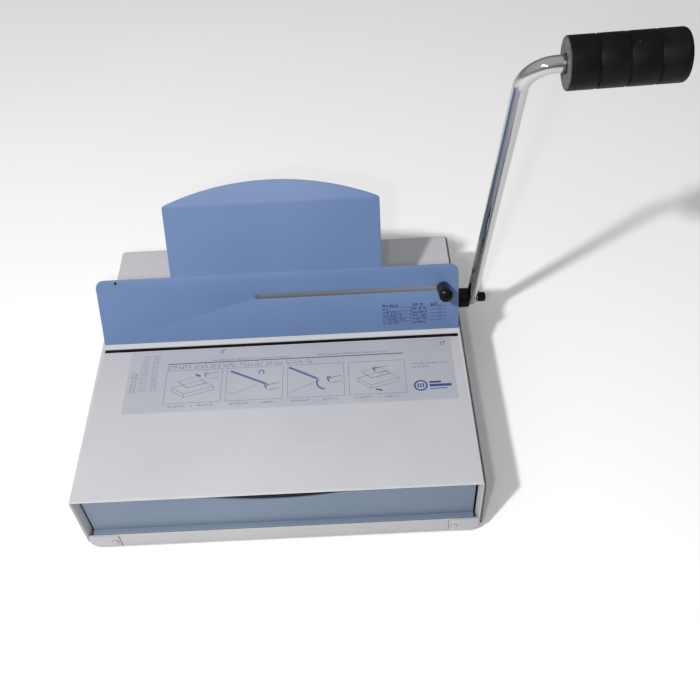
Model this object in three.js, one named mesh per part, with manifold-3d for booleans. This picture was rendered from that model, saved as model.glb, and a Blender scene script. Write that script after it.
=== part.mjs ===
// A desk punch for plastic comb binding, with a waste drawer, a sheet rest and a side lever.
// Millimetres. The origin is the centre of the case's underside, +X points to the lever side,
// +Y to the back and +Z up. The rubber feet reach below the origin.
import * as THREE from "three";
import { mergeVertices } from "three/addons/utils/BufferGeometryUtils.js";
import Module from "manifold-3d";

const wasm = await Module();
wasm.setup();

// ---- Driving dimensions --------------------------------------------------------------------

const DEG = Math.PI / 180;

// Case
const BODY_WIDTH = 350;
const BODY_DEPTH = 314;
const BODY_HEIGHT = 76;
const SHEET = 1.2; // painted sheet steel
const SHEET_FIT = 0.3; // air between two sheets, or between a part and its seat
const TOP_BEND = 2.5;
const REAR_CORNER = 4;
const BOTTOM_BEND = 10;
const HEM_WIDTH = 3.5; // folded front edge of the tray's side walls
const HEM_DEPTH = 8;
const LIP_HEIGHT = 19.5; // front lip of the tray
const LIP_SETBACK = 0.6; // the lip lies this far behind the corner tabs
const TAB_WIDTH = 27;
const TAB_TOP_DROP = 0.8;
const REAR_FLANGE_HEIGHT = 24;
const FLOOR_PANEL_MARGIN = 57; // from the plain middle of the tray's floor to the case's sides

// Paper throat
const SLIT_Y = 12.3;
const SLIT_WIDTH = 4.6;
const SLIT_END_MARGIN = 4.5; // from each end of the slit to the side of the case
const THROAT_FLOOR_DROP = 4.5; // from the punches' centre line down to the edge stop
const STOP_BAR_HEIGHT = 5;

// Punching set
const PUNCH_PITCH = 14.2875;
const PUNCH_LENGTH_X = 8;
const PUNCH_HEIGHT = 3;
const PUNCH_CLEARANCE = 0.2;
const PUNCH_STROKE = 8;
const PUNCH_SETBACK = 1.4; // tips behind the throat at rest
const DIE_THICKNESS = 5;
const GUIDE_THICKNESS = 8;
const DIE_DROP = 21; // from the punches' centre line down to the plates' lower edge
const DIE_TOP_GAP = 2.8; // from the plates up to the lid
const DIE_BOLT_RADIUS = 1.5;
const DIE_BOLT_BELOW = 13; // the bolts' places below and above the punches' centre line
const DIE_BOLT_ABOVE = 19;
const DIE_BOLT_HEAD = 3;
const SPACER_WIDTH = 7;
const HOLDER_THICKNESS = 3;
const PRESS_BAR_THICKNESS = 10;
const PRESS_BAR_HEIGHT = 22;
const PRESS_BAR_END_GAP = 2; // to the side frames
const HOLDER_HEIGHT = 14;
const SPRING_SPACE = 21; // from the guide plate back to the press bar
const GUIDE_ROD_RADIUS = 4;
const GUIDE_ROD_INSET = 9; // from the side frame to the rod's centre line
const GUIDE_ROD_OVERHANG = 12; // behind the press bar at rest
const SPRING_ROD_GAP = 0.9;
const SPRING_WIRE = 1.4;
const HOLDER_END_GAP = 0.8; // from the punch holder to the springs

// Side frames and shaft
const FRAME_THICKNESS = 3;
const FRAME_REACH = 26; // behind the shaft
const FRAME_FLANGE = 12;
const FRAME_LEAD = 0.4; // the frames start this far in front of the die plate
const SHAFT_Y = 92.3;
const SHAFT_DROP = 31; // from the deck down to the shaft's centre line
const SHAFT_RADIUS = 7;
const SHAFT_SHOULDER = 2; // the shaft's neck in the lever hub is this much thinner all round
const SHAFT_END_ROOM = 3.3; // from a bush's outer end to the tray's wall
const SHAFT_LEFT_END = 2.6; // past the left-hand bush
const RING_SETBACK = 0.4; // from the shaft's left end to its ring
const BUSH_WALL = 3;
const BUSH_LENGTH = 8;
const BUSH_FLANGE = 3; // how far the flange stands past the bush
const RUNNING_CLEARANCE = 0.2;
const CAM_INSET = 38; // from the side frame to the cam's middle
const CAM_THICKNESS = 11;
const CAM_WALL = 5; // around the shaft
const CAM_PAD_MARGIN = 0.5; // each side of the cam
const CAM_LEAD = 4; // from the cam's hub to the press bar's pads at rest
const STOP_PIN_OFFSET = 11; // from the shaft's surface to a stop pin's centre line
const STOP_PIN_RADIUS = 3;
const STOP_LUG_WIDTH = 8;
const STOP_LUG_ANGLE = 230 * DEG; // from the front (-Y) over the top
const STOP_INSET = 11; // from the side frame to the collar's middle
const STOP_THICKNESS = 6;
const COLLAR_WALL = 3.5; // of the stop collar and the left-hand ring, around the shaft
const RING_THICKNESS = 1.6;
const SHAFT_HOLE_ROOM = 1; // around the shaft, in the case's sides
const TIE_BAR_RADIUS = 4;
const TIE_BAR_INSET = 8; // from the frames' back edge

// Lever
const LEVER_TRAVEL = 68 * DEG;
const LEVER_LEAN = 18.9 * DEG;
const ROD_RADIUS = 6;
const ROD_OFFSET = 20.5; // from the case's side to the rod's centre line
const ROD_TAIL = 4; // straight rod below the shaft, before its round end
const ROD_LENGTH = 350; // shaft centre to the meeting point of rod and spindle
const ROD_BEND = 22;
const SPINDLE_RISE = 2 * DEG;
const HUB_RADIUS = 10.2;
const HUB_GAP = 0.6; // from the case's side to the hub
const HUB_SEAT = 3; // how deep the rod lies in the hub
const STUD_RADIUS = 3;
const STUD_LENGTH = 6; // past the rod
const CAP_RADIUS = 5;
const CAP_LENGTH = 8;

// Grip
const GRIP_START = 26.5; // from the meeting point of rod and spindle
const GRIP_LENGTH = 80.5;
const GRIP_RADIUS = 18;
const GRIP_GROOVES = 3;
const GROOVE_WIDTH = 1.6;
const GROOVE_DEPTH = 1;
const GRIP_CAP_LENGTH = 7;
const GRIP_NUT_WALL = 2.5; // from the rod to the nut's corners
const GRIP_NUT_LENGTH = 5;
const GRIP_POCKET_ROOM = 0.5; // around the nut and the end cap
const GRIP_EDGE = 3.5;

// Sheet rest
const REST_TILT = 26.8 * DEG;
const REST_FOOT_Y = 20.2;
const REST_THICKNESS = 1.5;
const REST_MARGIN = 3; // from the rest's ends to the sides of the case
const WING_HEIGHT = 64.7;
const WING_CORNER = 8;
const CREST_WIDTH = 200;
const CREST_HEIGHT = 152;
const CREST_RISE = 20; // of the arc between the crest's sides
const CREST_CORNER = 4;
const REST_SLOT_START = -22;
const REST_SLOT_MARGIN = 11; // from the slot to the rest's end
const REST_SLOT_HEIGHT = 41.4;
const REST_FLANGE = 22;

// Side stop
const STOP_POST_END_GAP = 1.4; // from the slot's round end to the parked stop
const STOP_POST_RADIUS = 6.4;
const STOP_POST_LENGTH = 27;
const STOP_STUD_RADIUS = 1.9;
const CLAMP_NUT_SIZE = 12;
const CLAMP_NUT_THICKNESS = 4;

// Waste drawer
const DRAWER_FRONT_GAP = 2; // beside the tray's folded edges
const DRAWER_FRONT_SETBACK = 6;
const DRAWER_FRONT_THICKNESS = 2.6;
const DRAWER_TOP_GAP = 2.8; // below the lid
const DRAWER_LIFT = 0.8; // above the lip
const DRAWER_LEDGE = 4.6; // reaches forward over the lip
const DRAWER_SIDE_INSET = 5.5; // from the ends of its front to its sides
const DRAWER_WALL = 1;
const DRAWER_SIDE_DROP = 13.7; // from the front's top to the top of the sides
const DRAWER_BACK_HEIGHT = 12;
const DRAWER_BACK_GAP = 2.2; // in front of the die plate
const RECESS_WIDTH = 182;
const RECESS_DEPTH = 15.5;
const RUNNER_WIDTH = 6;

// Label and small hardware
const LABEL_LEFT_GAP = 31.3; // from the sides of the case
const LABEL_RIGHT_GAP = 13.3;
const LABEL_DEPTH = 74.5;
const LABEL_BACK_GAP = 1.7; // from the label to the slit
const LABEL_THICKNESS = 0.2;
const LABEL_GLUE = 0.05;
const FOOT_RADIUS = 9;
const FOOT_HEIGHT = 5;
const FOOT_INSET = 26;
const FOOT_STEM_RADIUS = 3;
const FOOT_HEAD_RADIUS = 4.6;
const FOOT_HEAD_HEIGHT = 1.6;
const FOOT_EDGE = 0.7;
const SCREW_RADIUS = 1.8;
const SCREW_HEAD_RADIUS = 3.6;
const SCREW_HEAD_HEIGHT = 1.8;
const SCREW_LENGTH = 5.5;
const COVER_SCREW_FRONT_INSET = 47; // from the case's front and back to its side screws
const COVER_SCREW_REAR_INSET = 20;
const REAR_SCREW_INSET = 65; // from the sides of the case
const REST_SCREW_INSET = 52; // from the rest's ends
const REST_SCREW_SETBACK = 13; // behind the rest's foot
const RIVET_INSET = 4.5; // from the tab's inner end
const RIVET_Z = 9;
const RIVET_HEAD_RADIUS = 2.6;
const RIVET_HEAD_HEIGHT = 1;
const RIVET_FLARE = 0.8; // of its closed end

// ---- Places worked out from the dimensions -------------------------------------------------

const HALF_WIDTH = BODY_WIDTH / 2;
const FRONT_Y = -BODY_DEPTH / 2;
const REAR_Y = BODY_DEPTH / 2;
const LID_UNDERSIDE = BODY_HEIGHT - SHEET;
const SKIRT_BOTTOM = BOTTOM_BEND + 1;
const TRAY_OUTER_X = HALF_WIDTH - SHEET - SHEET_FIT;
const TRAY_INNER_X = TRAY_OUTER_X - SHEET;
const TRAY_REAR_Y = REAR_Y - SHEET - SHEET_FIT;
const TRAY_TOP = LID_UNDERSIDE - SHEET_FIT;
const LIP_FRONT_Y = FRONT_Y + LIP_SETBACK;
const MOUTH_HALF = TRAY_OUTER_X - HEM_WIDTH;
const TAB_INNER_X = TRAY_OUTER_X - TAB_WIDTH;
const FRAME_INNER_X = TRAY_INNER_X - SHAFT_END_ROOM - (BUSH_LENGTH - BUSH_FLANGE);

const SHAFT_Z = BODY_HEIGHT - SHAFT_DROP;
const PUNCH_Z = SHAFT_Z;
const DIE_BOTTOM = PUNCH_Z - DIE_DROP;
const DIE_TOP = LID_UNDERSIDE - DIE_TOP_GAP;
const DIE_BACK_Y = SLIT_Y - SLIT_WIDTH / 2;
const DIE_FRONT_Y = DIE_BACK_Y - DIE_THICKNESS;
const GUIDE_FRONT_Y = SLIT_Y + SLIT_WIDTH / 2;
const GUIDE_BACK_Y = GUIDE_FRONT_Y + GUIDE_THICKNESS;
const DIE_HALF_WIDTH = FRAME_INNER_X - SHEET_FIT;
const STOP_BAR_TOP = PUNCH_Z - THROAT_FLOOR_DROP;
const PRESS_FRONT_Y = GUIDE_BACK_Y + SPRING_SPACE;
const PRESS_BACK_Y = PRESS_FRONT_Y + PRESS_BAR_THICKNESS;
const GUIDE_ROD_X = FRAME_INNER_X - GUIDE_ROD_INSET;
const SPRING_OUTER_RADIUS = GUIDE_ROD_RADIUS + SPRING_ROD_GAP + SPRING_WIRE;
const HOLDER_HALF = GUIDE_ROD_X - SPRING_OUTER_RADIUS - HOLDER_END_GAP;
const PUNCH_COUNT = 1 + Math.floor((2 * HOLDER_HALF - PUNCH_LENGTH_X) / PUNCH_PITCH);
const CAM_X = FRAME_INNER_X - CAM_INSET;
const CAM_HUB_RADIUS = SHAFT_RADIUS + CAM_WALL;
const CAM_REACH = CAM_HUB_RADIUS + CAM_LEAD;
const STOP_X = FRAME_INNER_X - STOP_INSET;
const STOP_RADIUS = SHAFT_RADIUS + STOP_PIN_OFFSET;
const PAD_BACK_Y = SHAFT_Y - CAM_REACH - SHEET_FIT;
const CAM_RISE_PER_RADIAN = PUNCH_STROKE / LEVER_TRAVEL;
const ROD_X = HALF_WIDTH + ROD_OFFSET;
const ROD_INNER_X = ROD_X - ROD_RADIUS;
const ROD_OUTER_X = ROD_X + ROD_RADIUS;
const GRIP_END = GRIP_START + GRIP_LENGTH;
const GRIP_NUT_RADIUS = ROD_RADIUS + GRIP_NUT_WALL;

const REST_HALF = HALF_WIDTH - REST_MARGIN;
const REST_SLOT_RADIUS = STOP_STUD_RADIUS + SHEET_FIT;
const REST_SLOT_END = REST_HALF - REST_SLOT_MARGIN;
const STOP_POST_X = REST_SLOT_END - REST_SLOT_RADIUS - STOP_POST_END_GAP;

const DRAWER_FRONT_Y = FRONT_Y + DRAWER_FRONT_SETBACK;
const DRAWER_FRONT_HALF = MOUTH_HALF - DRAWER_FRONT_GAP;
const DRAWER_HALF = DRAWER_FRONT_HALF - DRAWER_SIDE_INSET;
const DRAWER_TOP = LID_UNDERSIDE - DRAWER_TOP_GAP;
const DRAWER_BOTTOM = LIP_HEIGHT + DRAWER_LIFT;
const DRAWER_BACK_Y = DIE_FRONT_Y - DRAWER_BACK_GAP;

// ---- Finishes ------------------------------------------------------------------------------

const finish = (color, roughness, metalness) =>
  new THREE.MeshStandardMaterial({ color, roughness, metalness });
const GREY_PAINT = [0xc9cacf, 0.5, 0];
const BLUE_PAINT = [0x6f8ab6, 0.45, 0];
const DRAWER_BLUE = [0x72849b, 0.5, 0];
const LABEL_GREY = [0xb2b8c4, 0.4, 0];
const BLACK_PLASTIC = [0x1c1c20, 0.4, 0];
const RUBBER = [0x202022, 0.8, 0];
const CHROME = [0xd5d7da, 0.12, 1];
const STEEL = [0x9a9ca0, 0.35, 1];
const DARK_STEEL = [0x5c5f64, 0.4, 1];
const BRASS = [0xb08d4a, 0.35, 1];

// ---- Shape helpers -------------------------------------------------------------------------

// A closed geometry as a solid that can be joined and cut.
function solidOf(geometry) {
  const bare = geometry.index ? geometry.toNonIndexed() : geometry.clone();
  bare.deleteAttribute("normal");
  bare.deleteAttribute("uv");
  const merged = mergeVertices(bare, 1e-4);
  const vertProperties = merged.attributes.position.array;
  const triVerts = new Uint32Array(merged.index.array);
  return new wasm.Manifold(new wasm.Mesh({ numProp: 3, vertProperties, triVerts }));
}

function geometryOf(solid) {
  const { vertProperties, triVerts } = solid.getMesh();
  const geometry = new THREE.BufferGeometry();
  geometry.setAttribute("position", new THREE.BufferAttribute(vertProperties, 3));
  geometry.setIndex(new THREE.BufferAttribute(triVerts, 1));
  geometry.computeVertexNormals();
  return geometry;
}

const join = (first, ...others) =>
  geometryOf(others.reduce((sum, other) => sum.add(solidOf(other)), solidOf(first)));

const cut = (body, ...tools) =>
  geometryOf(tools.reduce((rest, tool) => rest.subtract(solidOf(tool)), solidOf(body)));

const block = ([x0, x1], [y0, y1], [z0, z1]) =>
  new THREE.BoxGeometry(x1 - x0, y1 - y0, z1 - z0).translate(
    (x0 + x1) / 2,
    (y0 + y1) / 2,
    (z0 + z1) / 2,
  );

const AXIS_TURN = {
  x: new THREE.Matrix4().makeRotationZ(-Math.PI / 2),
  y: new THREE.Matrix4(),
  z: new THREE.Matrix4().makeRotationX(Math.PI / 2),
};

// A round bar along an axis, from one end to the other, with its centre line through a point.
function bar(axis, radius, from, to, [cx, cy, cz], sides = 24) {
  const along = new THREE.Vector3();
  along[axis] = (from + to) / 2;
  return new THREE.CylinderGeometry(radius, radius, to - from, sides)
    .applyMatrix4(AXIS_TURN[axis])
    .translate(along.x + cx, along.y + cy, along.z + cz);
}

// A turned part about the X axis: the profile is [distance along X, radius] from left to right.
const turnedAlongX = (profile, sides = 24) =>
  new THREE.LatheGeometry(
    profile.map(([x, radius]) => new THREE.Vector2(radius, x)),
    sides,
  ).applyMatrix4(AXIS_TURN.x);

// A turned part about the Z axis: the profile is [radius, height] from the bottom up.
const turnedAlongZ = (profile, sides = 12) =>
  new THREE.LatheGeometry(
    profile.map(([radius, z]) => new THREE.Vector2(radius, z)),
    sides,
  ).applyMatrix4(AXIS_TURN.z);

// A flat outline given in the two other axes, made solid along one axis.
const EXTRUDE_TURN = {
  x: new THREE.Matrix4().makeBasis(
    new THREE.Vector3(0, 1, 0),
    new THREE.Vector3(0, 0, 1),
    new THREE.Vector3(1, 0, 0),
  ),
  y: new THREE.Matrix4().makeBasis(
    new THREE.Vector3(1, 0, 0),
    new THREE.Vector3(0, 0, 1),
    new THREE.Vector3(0, -1, 0),
  ),
  z: new THREE.Matrix4(),
};

function sheet(axis, shape, from, to, options = {}) {
  const made = new THREE.ExtrudeGeometry(shape, {
    depth: to - from,
    bevelEnabled: false,
    curveSegments: 8,
    ...options,
  }).applyMatrix4(EXTRUDE_TURN[axis]);
  const shift = new THREE.Vector3();
  shift[axis] = axis === "y" ? to : from;
  return made.translate(shift.x, shift.y, shift.z);
}

function mesh(name, geometry, [color, roughness, metalness]) {
  const made = new THREE.Mesh(geometry, finish(color, roughness, metalness));
  made.name = name;
  return made;
}

function group(position, rotation, ...children) {
  const made = new THREE.Group();
  made.position.set(...position);
  made.rotation.set(...rotation);
  made.add(...children);
  return made;
}

const SIDES = [
  ["left", -1],
  ["right", 1],
];

// The two ends of a span on one side of the middle plane, in rising order.
const span = (side, a, b) => [side * a, side * b].sort((p, q) => p - q);

// ---- Case ----------------------------------------------------------------------------------

const COVER_SCREWS = SIDES.flatMap(([name, side]) => [
  { name: `cover_screw_${name}_front`, side, y: FRONT_Y + COVER_SCREW_FRONT_INSET },
  { name: `cover_screw_${name}_rear`, side, y: REAR_Y - COVER_SCREW_REAR_INSET },
]);
const COVER_SCREW_Z = 30;
const REAR_SCREW_X = HALF_WIDTH - REAR_SCREW_INSET;
const REAR_SCREW_Z = 17;
const REST_SCREW_X = REST_HALF - REST_SCREW_INSET;
const REST_SCREWS = [
  ["left", -REST_SCREW_X],
  ["middle", 0],
  ["right", REST_SCREW_X],
];
const REST_SCREW_Y = REST_FOOT_Y + REST_SCREW_SETBACK;
const HOLE_RADIUS = SCREW_RADIUS + SHEET_FIT;
const RIVET_X = TAB_INNER_X + RIVET_INSET;

function topCover() {
  const edge = HALF_WIDTH - TOP_BEND;
  const back = REAR_Y - TOP_BEND;
  const corner = REAR_CORNER - TOP_BEND;
  const front = FRONT_Y - 2 * TOP_BEND;
  const outline = new THREE.Shape();
  outline.moveTo(-edge, front);
  outline.lineTo(edge, front);
  outline.lineTo(edge, back - corner);
  outline.absarc(edge - corner, back - corner, corner, 0, Math.PI / 2);
  outline.lineTo(corner - edge, back);
  outline.absarc(corner - edge, back - corner, corner, Math.PI / 2, Math.PI);
  const shellTop = BODY_HEIGHT - TOP_BEND;
  const shell = sheet("z", outline, SKIRT_BOTTOM - TOP_BEND, shellTop, {
    bevelEnabled: true,
    bevelThickness: TOP_BEND,
    bevelSize: TOP_BEND,
    bevelSegments: 4,
  });
  const inner = HALF_WIDTH - SHEET;
  const wide = 2 * BODY_WIDTH;
  const slitHalf = HALF_WIDTH - SLIT_END_MARGIN;
  const slit = [SLIT_Y - SLIT_WIDTH / 2, SLIT_Y + SLIT_WIDTH / 2];
  const shaftHole = SHAFT_RADIUS + SHAFT_HOLE_ROOM;
  const screwHoles = [
    ...COVER_SCREWS.map(({ side, y }) => {
      const [from, to] = span(side, inner - 2, HALF_WIDTH + 1);
      return bar("x", HOLE_RADIUS, from, to, [0, y, COVER_SCREW_Z], 12);
    }),
    ...SIDES.map(([, side]) => {
      const centre = [side * REAR_SCREW_X, 0, REAR_SCREW_Z];
      return bar("y", HOLE_RADIUS, REAR_Y - 5, REAR_Y + 1, centre, 12);
    }),
    ...REST_SCREWS.map(([, x]) =>
      bar("z", HOLE_RADIUS, LID_UNDERSIDE - 1, BODY_HEIGHT + 1, [x, REST_SCREW_Y, 0], 12),
    ),
  ];
  return cut(
    shell,
    block([-wide, wide], [front - 9, FRONT_Y], [0, 2 * BODY_HEIGHT]),
    block([-wide, wide], [-wide, wide], [-9, SKIRT_BOTTOM]),
    block([-inner, inner], [FRONT_Y - 9, REAR_Y - SHEET], [0, LID_UNDERSIDE]),
    block([-slitHalf, slitHalf], slit, [LID_UNDERSIDE - 1, BODY_HEIGHT + 1]),
    bar("x", shaftHole, inner - 2, HALF_WIDTH + 1, [0, SHAFT_Y, SHAFT_Z], 24),
    ...screwHoles,
  );
}

// The U-shaped outline of the tray at an inset from its outer face.
function trayOutline(inset, top) {
  const half = TRAY_OUTER_X - inset;
  const radius = BOTTOM_BEND - inset;
  const outline = new THREE.Shape();
  outline.moveTo(-half, top);
  outline.lineTo(-half, radius + inset);
  outline.absarc(radius - half, radius + inset, radius, Math.PI, 1.5 * Math.PI);
  outline.lineTo(half - radius, inset);
  outline.absarc(half - radius, radius + inset, radius, 1.5 * Math.PI, 2 * Math.PI);
  outline.lineTo(half, top);
  return outline;
}

const FEET = SIDES.flatMap(([name, side]) => [
  [`foot_front_${name}`, side * (HALF_WIDTH - FOOT_INSET), FRONT_Y + FOOT_INSET],
  [`foot_rear_${name}`, side * (HALF_WIDTH - FOOT_INSET), REAR_Y - FOOT_INSET],
]);

// The tray. The middle of its floor is a panel of its own, so that the underside between the feet
// is one plain rectangle.
function baseTray() {
  const hemBack = FRONT_Y + HEM_DEPTH;
  const outer = sheet("y", trayOutline(0, TRAY_TOP), FRONT_Y, TRAY_REAR_Y);
  const hollow = sheet("y", trayOutline(SHEET, TRAY_TOP + 1), hemBack, TRAY_REAR_Y - SHEET);
  const lipBack = LIP_FRONT_Y + SHEET;
  const wide = BODY_WIDTH;
  const panelX = HALF_WIDTH - FLOOR_PANEL_MARGIN;
  const panelY = REAR_Y - FLOOR_PANEL_MARGIN;
  const shaftHole = SHAFT_RADIUS + SHAFT_HOLE_ROOM;
  const window = block([-panelX, panelX], [-panelY, panelY], [-1, SHEET + 1]);
  const panel = block([-panelX, panelX], [-panelY, panelY], [0, SHEET]);
  const shell = cut(
    outer,
    hollow,
    block([-MOUTH_HALF, MOUTH_HALF], [FRONT_Y - 1, hemBack + 1], [LIP_HEIGHT, TRAY_TOP + 1]),
    block([-MOUTH_HALF, MOUTH_HALF], [lipBack, hemBack + 1], [SHEET, LIP_HEIGHT + 1]),
    block([-TAB_INNER_X, TAB_INNER_X], [FRONT_Y - 1, LIP_FRONT_Y], [-1, LIP_HEIGHT + 1]),
    block([-wide, wide], [TRAY_REAR_Y - SHEET, TRAY_REAR_Y + 1], [REAR_FLANGE_HEIGHT, 2 * TRAY_TOP]),
    bar("x", shaftHole, TRAY_INNER_X - 2, TRAY_OUTER_X + 1, [0, SHAFT_Y, SHAFT_Z], 24),
    ...COVER_SCREWS.map(({ side, y }) => {
      const [from, to] = span(side, TRAY_INNER_X - 2, TRAY_OUTER_X + 1);
      return bar("x", HOLE_RADIUS, from, to, [0, y, COVER_SCREW_Z], 12);
    }),
    ...SIDES.flatMap(([, side]) => [
      bar("y", HOLE_RADIUS, TRAY_REAR_Y - 3, TRAY_REAR_Y + 1, [side * REAR_SCREW_X, 0, REAR_SCREW_Z], 12),
      bar("y", HOLE_RADIUS, FRONT_Y - 1, lipBack + 1, [side * RIVET_X, 0, RIVET_Z], 12),
      block(
        span(side, TAB_INNER_X - 1, MOUTH_HALF - TAB_TOP_DROP),
        [FRONT_Y - 1, LIP_FRONT_Y],
        [LIP_HEIGHT - TAB_TOP_DROP, LIP_HEIGHT + 1],
      ),
    ]),
    ...FEET.map(([, x, y]) => bar("z", FOOT_STEM_RADIUS + SHEET_FIT, -1, SHEET + 1, [x, y, 0], 12)),
    window,
  );
  return join(shell, panel);
}

// A pan-head screw along Z with the underside of its head at the origin.
function screw(length = SCREW_LENGTH) {
  return turnedAlongZ([
    [0, -length],
    [SCREW_RADIUS, -length],
    [SCREW_RADIUS, 0],
    [SCREW_HEAD_RADIUS, 0],
    [SCREW_HEAD_RADIUS, SCREW_HEAD_HEIGHT * 0.4],
    [SCREW_HEAD_RADIUS * 0.7, SCREW_HEAD_HEIGHT],
    [0, SCREW_HEAD_HEIGHT],
  ]);
}

const TURN_TO = {
  left: [0, -Math.PI / 2, 0],
  right: [0, Math.PI / 2, 0],
  rear: [-Math.PI / 2, 0, 0],
  front: [Math.PI / 2, 0, 0],
};

// Room around the feet's heads for what lies on the tray's floor.
const footHeadRoom = (z0, z1) =>
  FEET.map(([, x, y]) => bar("z", FOOT_HEAD_RADIUS + SHEET_FIT, z0, z1, [x, y, 0], 12));

// A rubber foot: a pad under the case, a stem through its floor and a head inside.
function foot() {
  const head = SHEET + SHEET_FIT;
  const profile = [
    [0, -FOOT_HEIGHT],
    [FOOT_RADIUS - FOOT_EDGE, -FOOT_HEIGHT],
    [FOOT_RADIUS, FOOT_EDGE - FOOT_HEIGHT],
    [FOOT_RADIUS - 1, -SHEET_FIT],
    [FOOT_STEM_RADIUS, -SHEET_FIT],
    [FOOT_STEM_RADIUS, head],
    [FOOT_HEAD_RADIUS, head],
    [FOOT_STEM_RADIUS, head + FOOT_HEAD_HEIGHT],
    [0, head + FOOT_HEAD_HEIGHT],
  ];
  return turnedAlongZ(profile, 16);
}

function caseGroup() {
  const parts = [
    mesh("base_tray", baseTray(), GREY_PAINT),
    mesh("top_cover", topCover(), GREY_PAINT),
  ];
  const labelBack = SLIT_Y - SLIT_WIDTH / 2 - LABEL_BACK_GAP;
  const labelBase = BODY_HEIGHT + LABEL_GLUE;
  const label = block(
    [LABEL_LEFT_GAP - HALF_WIDTH, HALF_WIDTH - LABEL_RIGHT_GAP],
    [labelBack - LABEL_DEPTH, labelBack],
    [labelBase, labelBase + LABEL_THICKNESS],
  );
  parts.push(mesh("instruction_label", label, LABEL_GREY));
  for (const [name, x, y] of FEET) {
    parts.push(group([x, y, 0], [0, 0, 0], mesh(name, foot(), RUBBER)));
  }
  for (const { name, side, y } of COVER_SCREWS) {
    const turn = side < 0 ? TURN_TO.left : TURN_TO.right;
    const x = side * (HALF_WIDTH + SHEET_FIT);
    parts.push(group([x, y, COVER_SCREW_Z], turn, mesh(name, screw(), STEEL)));
  }
  for (const [name, side] of SIDES) {
    const rear = [side * REAR_SCREW_X, REAR_Y + SHEET_FIT, REAR_SCREW_Z];
    parts.push(group(rear, TURN_TO.rear, mesh(`rear_screw_${name}`, screw(), STEEL)));
    const front = [side * RIVET_X, FRONT_Y - SHEET_FIT, RIVET_Z];
    parts.push(group(front, TURN_TO.front, mesh(`lip_rivet_${name}`, rivet(), GREY_PAINT)));
  }
  return group([0, 0, 0], [0, 0, 0], ...parts);
}

// A dome-head rivet along Z that is spread behind the tab and the lip.
function rivet() {
  const grip = SHEET + LIP_SETBACK + 2 * SHEET_FIT;
  return turnedAlongZ([
    [0, -grip - RIVET_FLARE],
    [SCREW_RADIUS + RIVET_FLARE, -grip - RIVET_FLARE],
    [SCREW_RADIUS + RIVET_FLARE, -grip],
    [SCREW_RADIUS, -grip],
    [SCREW_RADIUS, 0],
    [RIVET_HEAD_RADIUS, 0],
    [RIVET_HEAD_RADIUS - 0.4, 0.6],
    [RIVET_HEAD_RADIUS / 2, RIVET_HEAD_HEIGHT],
    [0, RIVET_HEAD_HEIGHT],
  ]);
}

// ---- Sheet rest and its side stop ----------------------------------------------------------

// The rest's outline in X and the height up its slope.
function restOutline() {
  const half = REST_HALF;
  const crest = CREST_WIDTH / 2;
  const crestSide = CREST_HEIGHT - CREST_RISE;
  const radius = (crest * crest + CREST_RISE * CREST_RISE) / (2 * CREST_RISE);
  const centre = CREST_HEIGHT - radius;
  const shoulder = crest - CREST_CORNER;
  const start = Math.asin(shoulder / radius);
  const shoulderHeight = centre + radius * Math.cos(start);
  const wingEdge = half - WING_CORNER;
  const wingSide = WING_HEIGHT - WING_CORNER;
  const outline = new THREE.Shape();
  outline.moveTo(-half, 0);
  outline.lineTo(half, 0);
  outline.lineTo(half, wingSide);
  outline.absarc(wingEdge, wingSide, WING_CORNER, 0, Math.PI / 2);
  outline.lineTo(crest, WING_HEIGHT);
  outline.lineTo(crest, crestSide - CREST_CORNER);
  outline.quadraticCurveTo(crest, crestSide, shoulder, shoulderHeight);
  outline.absarc(0, centre, radius, Math.PI / 2 - start, Math.PI / 2 + start);
  outline.quadraticCurveTo(-crest, crestSide, -crest, crestSide - CREST_CORNER);
  outline.lineTo(-crest, WING_HEIGHT);
  outline.lineTo(-wingEdge, WING_HEIGHT);
  outline.absarc(-wingEdge, wingSide, WING_CORNER, Math.PI / 2, Math.PI);
  return outline;
}

function restSlot() {
  const radius = REST_SLOT_RADIUS;
  const slot = new THREE.Path();
  slot.absarc(REST_SLOT_START + radius, REST_SLOT_HEIGHT, radius, 0.5 * Math.PI, 1.5 * Math.PI);
  slot.absarc(REST_SLOT_END - radius, REST_SLOT_HEIGHT, radius, -0.5 * Math.PI, 0.5 * Math.PI);
  return slot;
}

// Local frame: X along the foot, Z up the slope, the front face at Y = 0.
function sheetRest() {
  const outline = restOutline();
  outline.holes.push(restSlot());
  const panel = sheet("y", outline, 0, REST_THICKNESS, { curveSegments: 12 });
  const flange = cut(
    block([-REST_HALF, REST_HALF], [0, REST_FLANGE], [0, REST_THICKNESS]),
    ...REST_SCREWS.map(([, x]) =>
      bar("z", HOLE_RADIUS, -1, REST_THICKNESS + 1, [x, REST_SCREW_Y - REST_FOOT_Y, 0], 12),
    ),
  );
  const below = block([-BODY_WIDTH, BODY_WIDTH], [-REST_FLANGE, REST_FLANGE], [-REST_FLANGE, 0]);
  return cut(join(panel, flange.rotateX(REST_TILT)), below.rotateX(REST_TILT));
}

// A black post with a stud that passes the rest's slot. Its axis is the local Y axis.
function stopPost() {
  const studEnd = REST_THICKNESS + CLAMP_NUT_THICKNESS + 1.5;
  const profile = [
    [0, -STOP_POST_LENGTH],
    [STOP_POST_RADIUS - 1.6, -STOP_POST_LENGTH],
    [STOP_POST_RADIUS - 0.5, 0.5 - STOP_POST_LENGTH],
    [STOP_POST_RADIUS, 1.6 - STOP_POST_LENGTH],
    [STOP_POST_RADIUS, -SHEET_FIT],
    [STOP_STUD_RADIUS, -SHEET_FIT],
    [STOP_STUD_RADIUS, studEnd],
    [0, studEnd],
  ];
  const points = profile.map(([x, y]) => new THREE.Vector2(x, y));
  return new THREE.LatheGeometry(points, 24);
}

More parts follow.
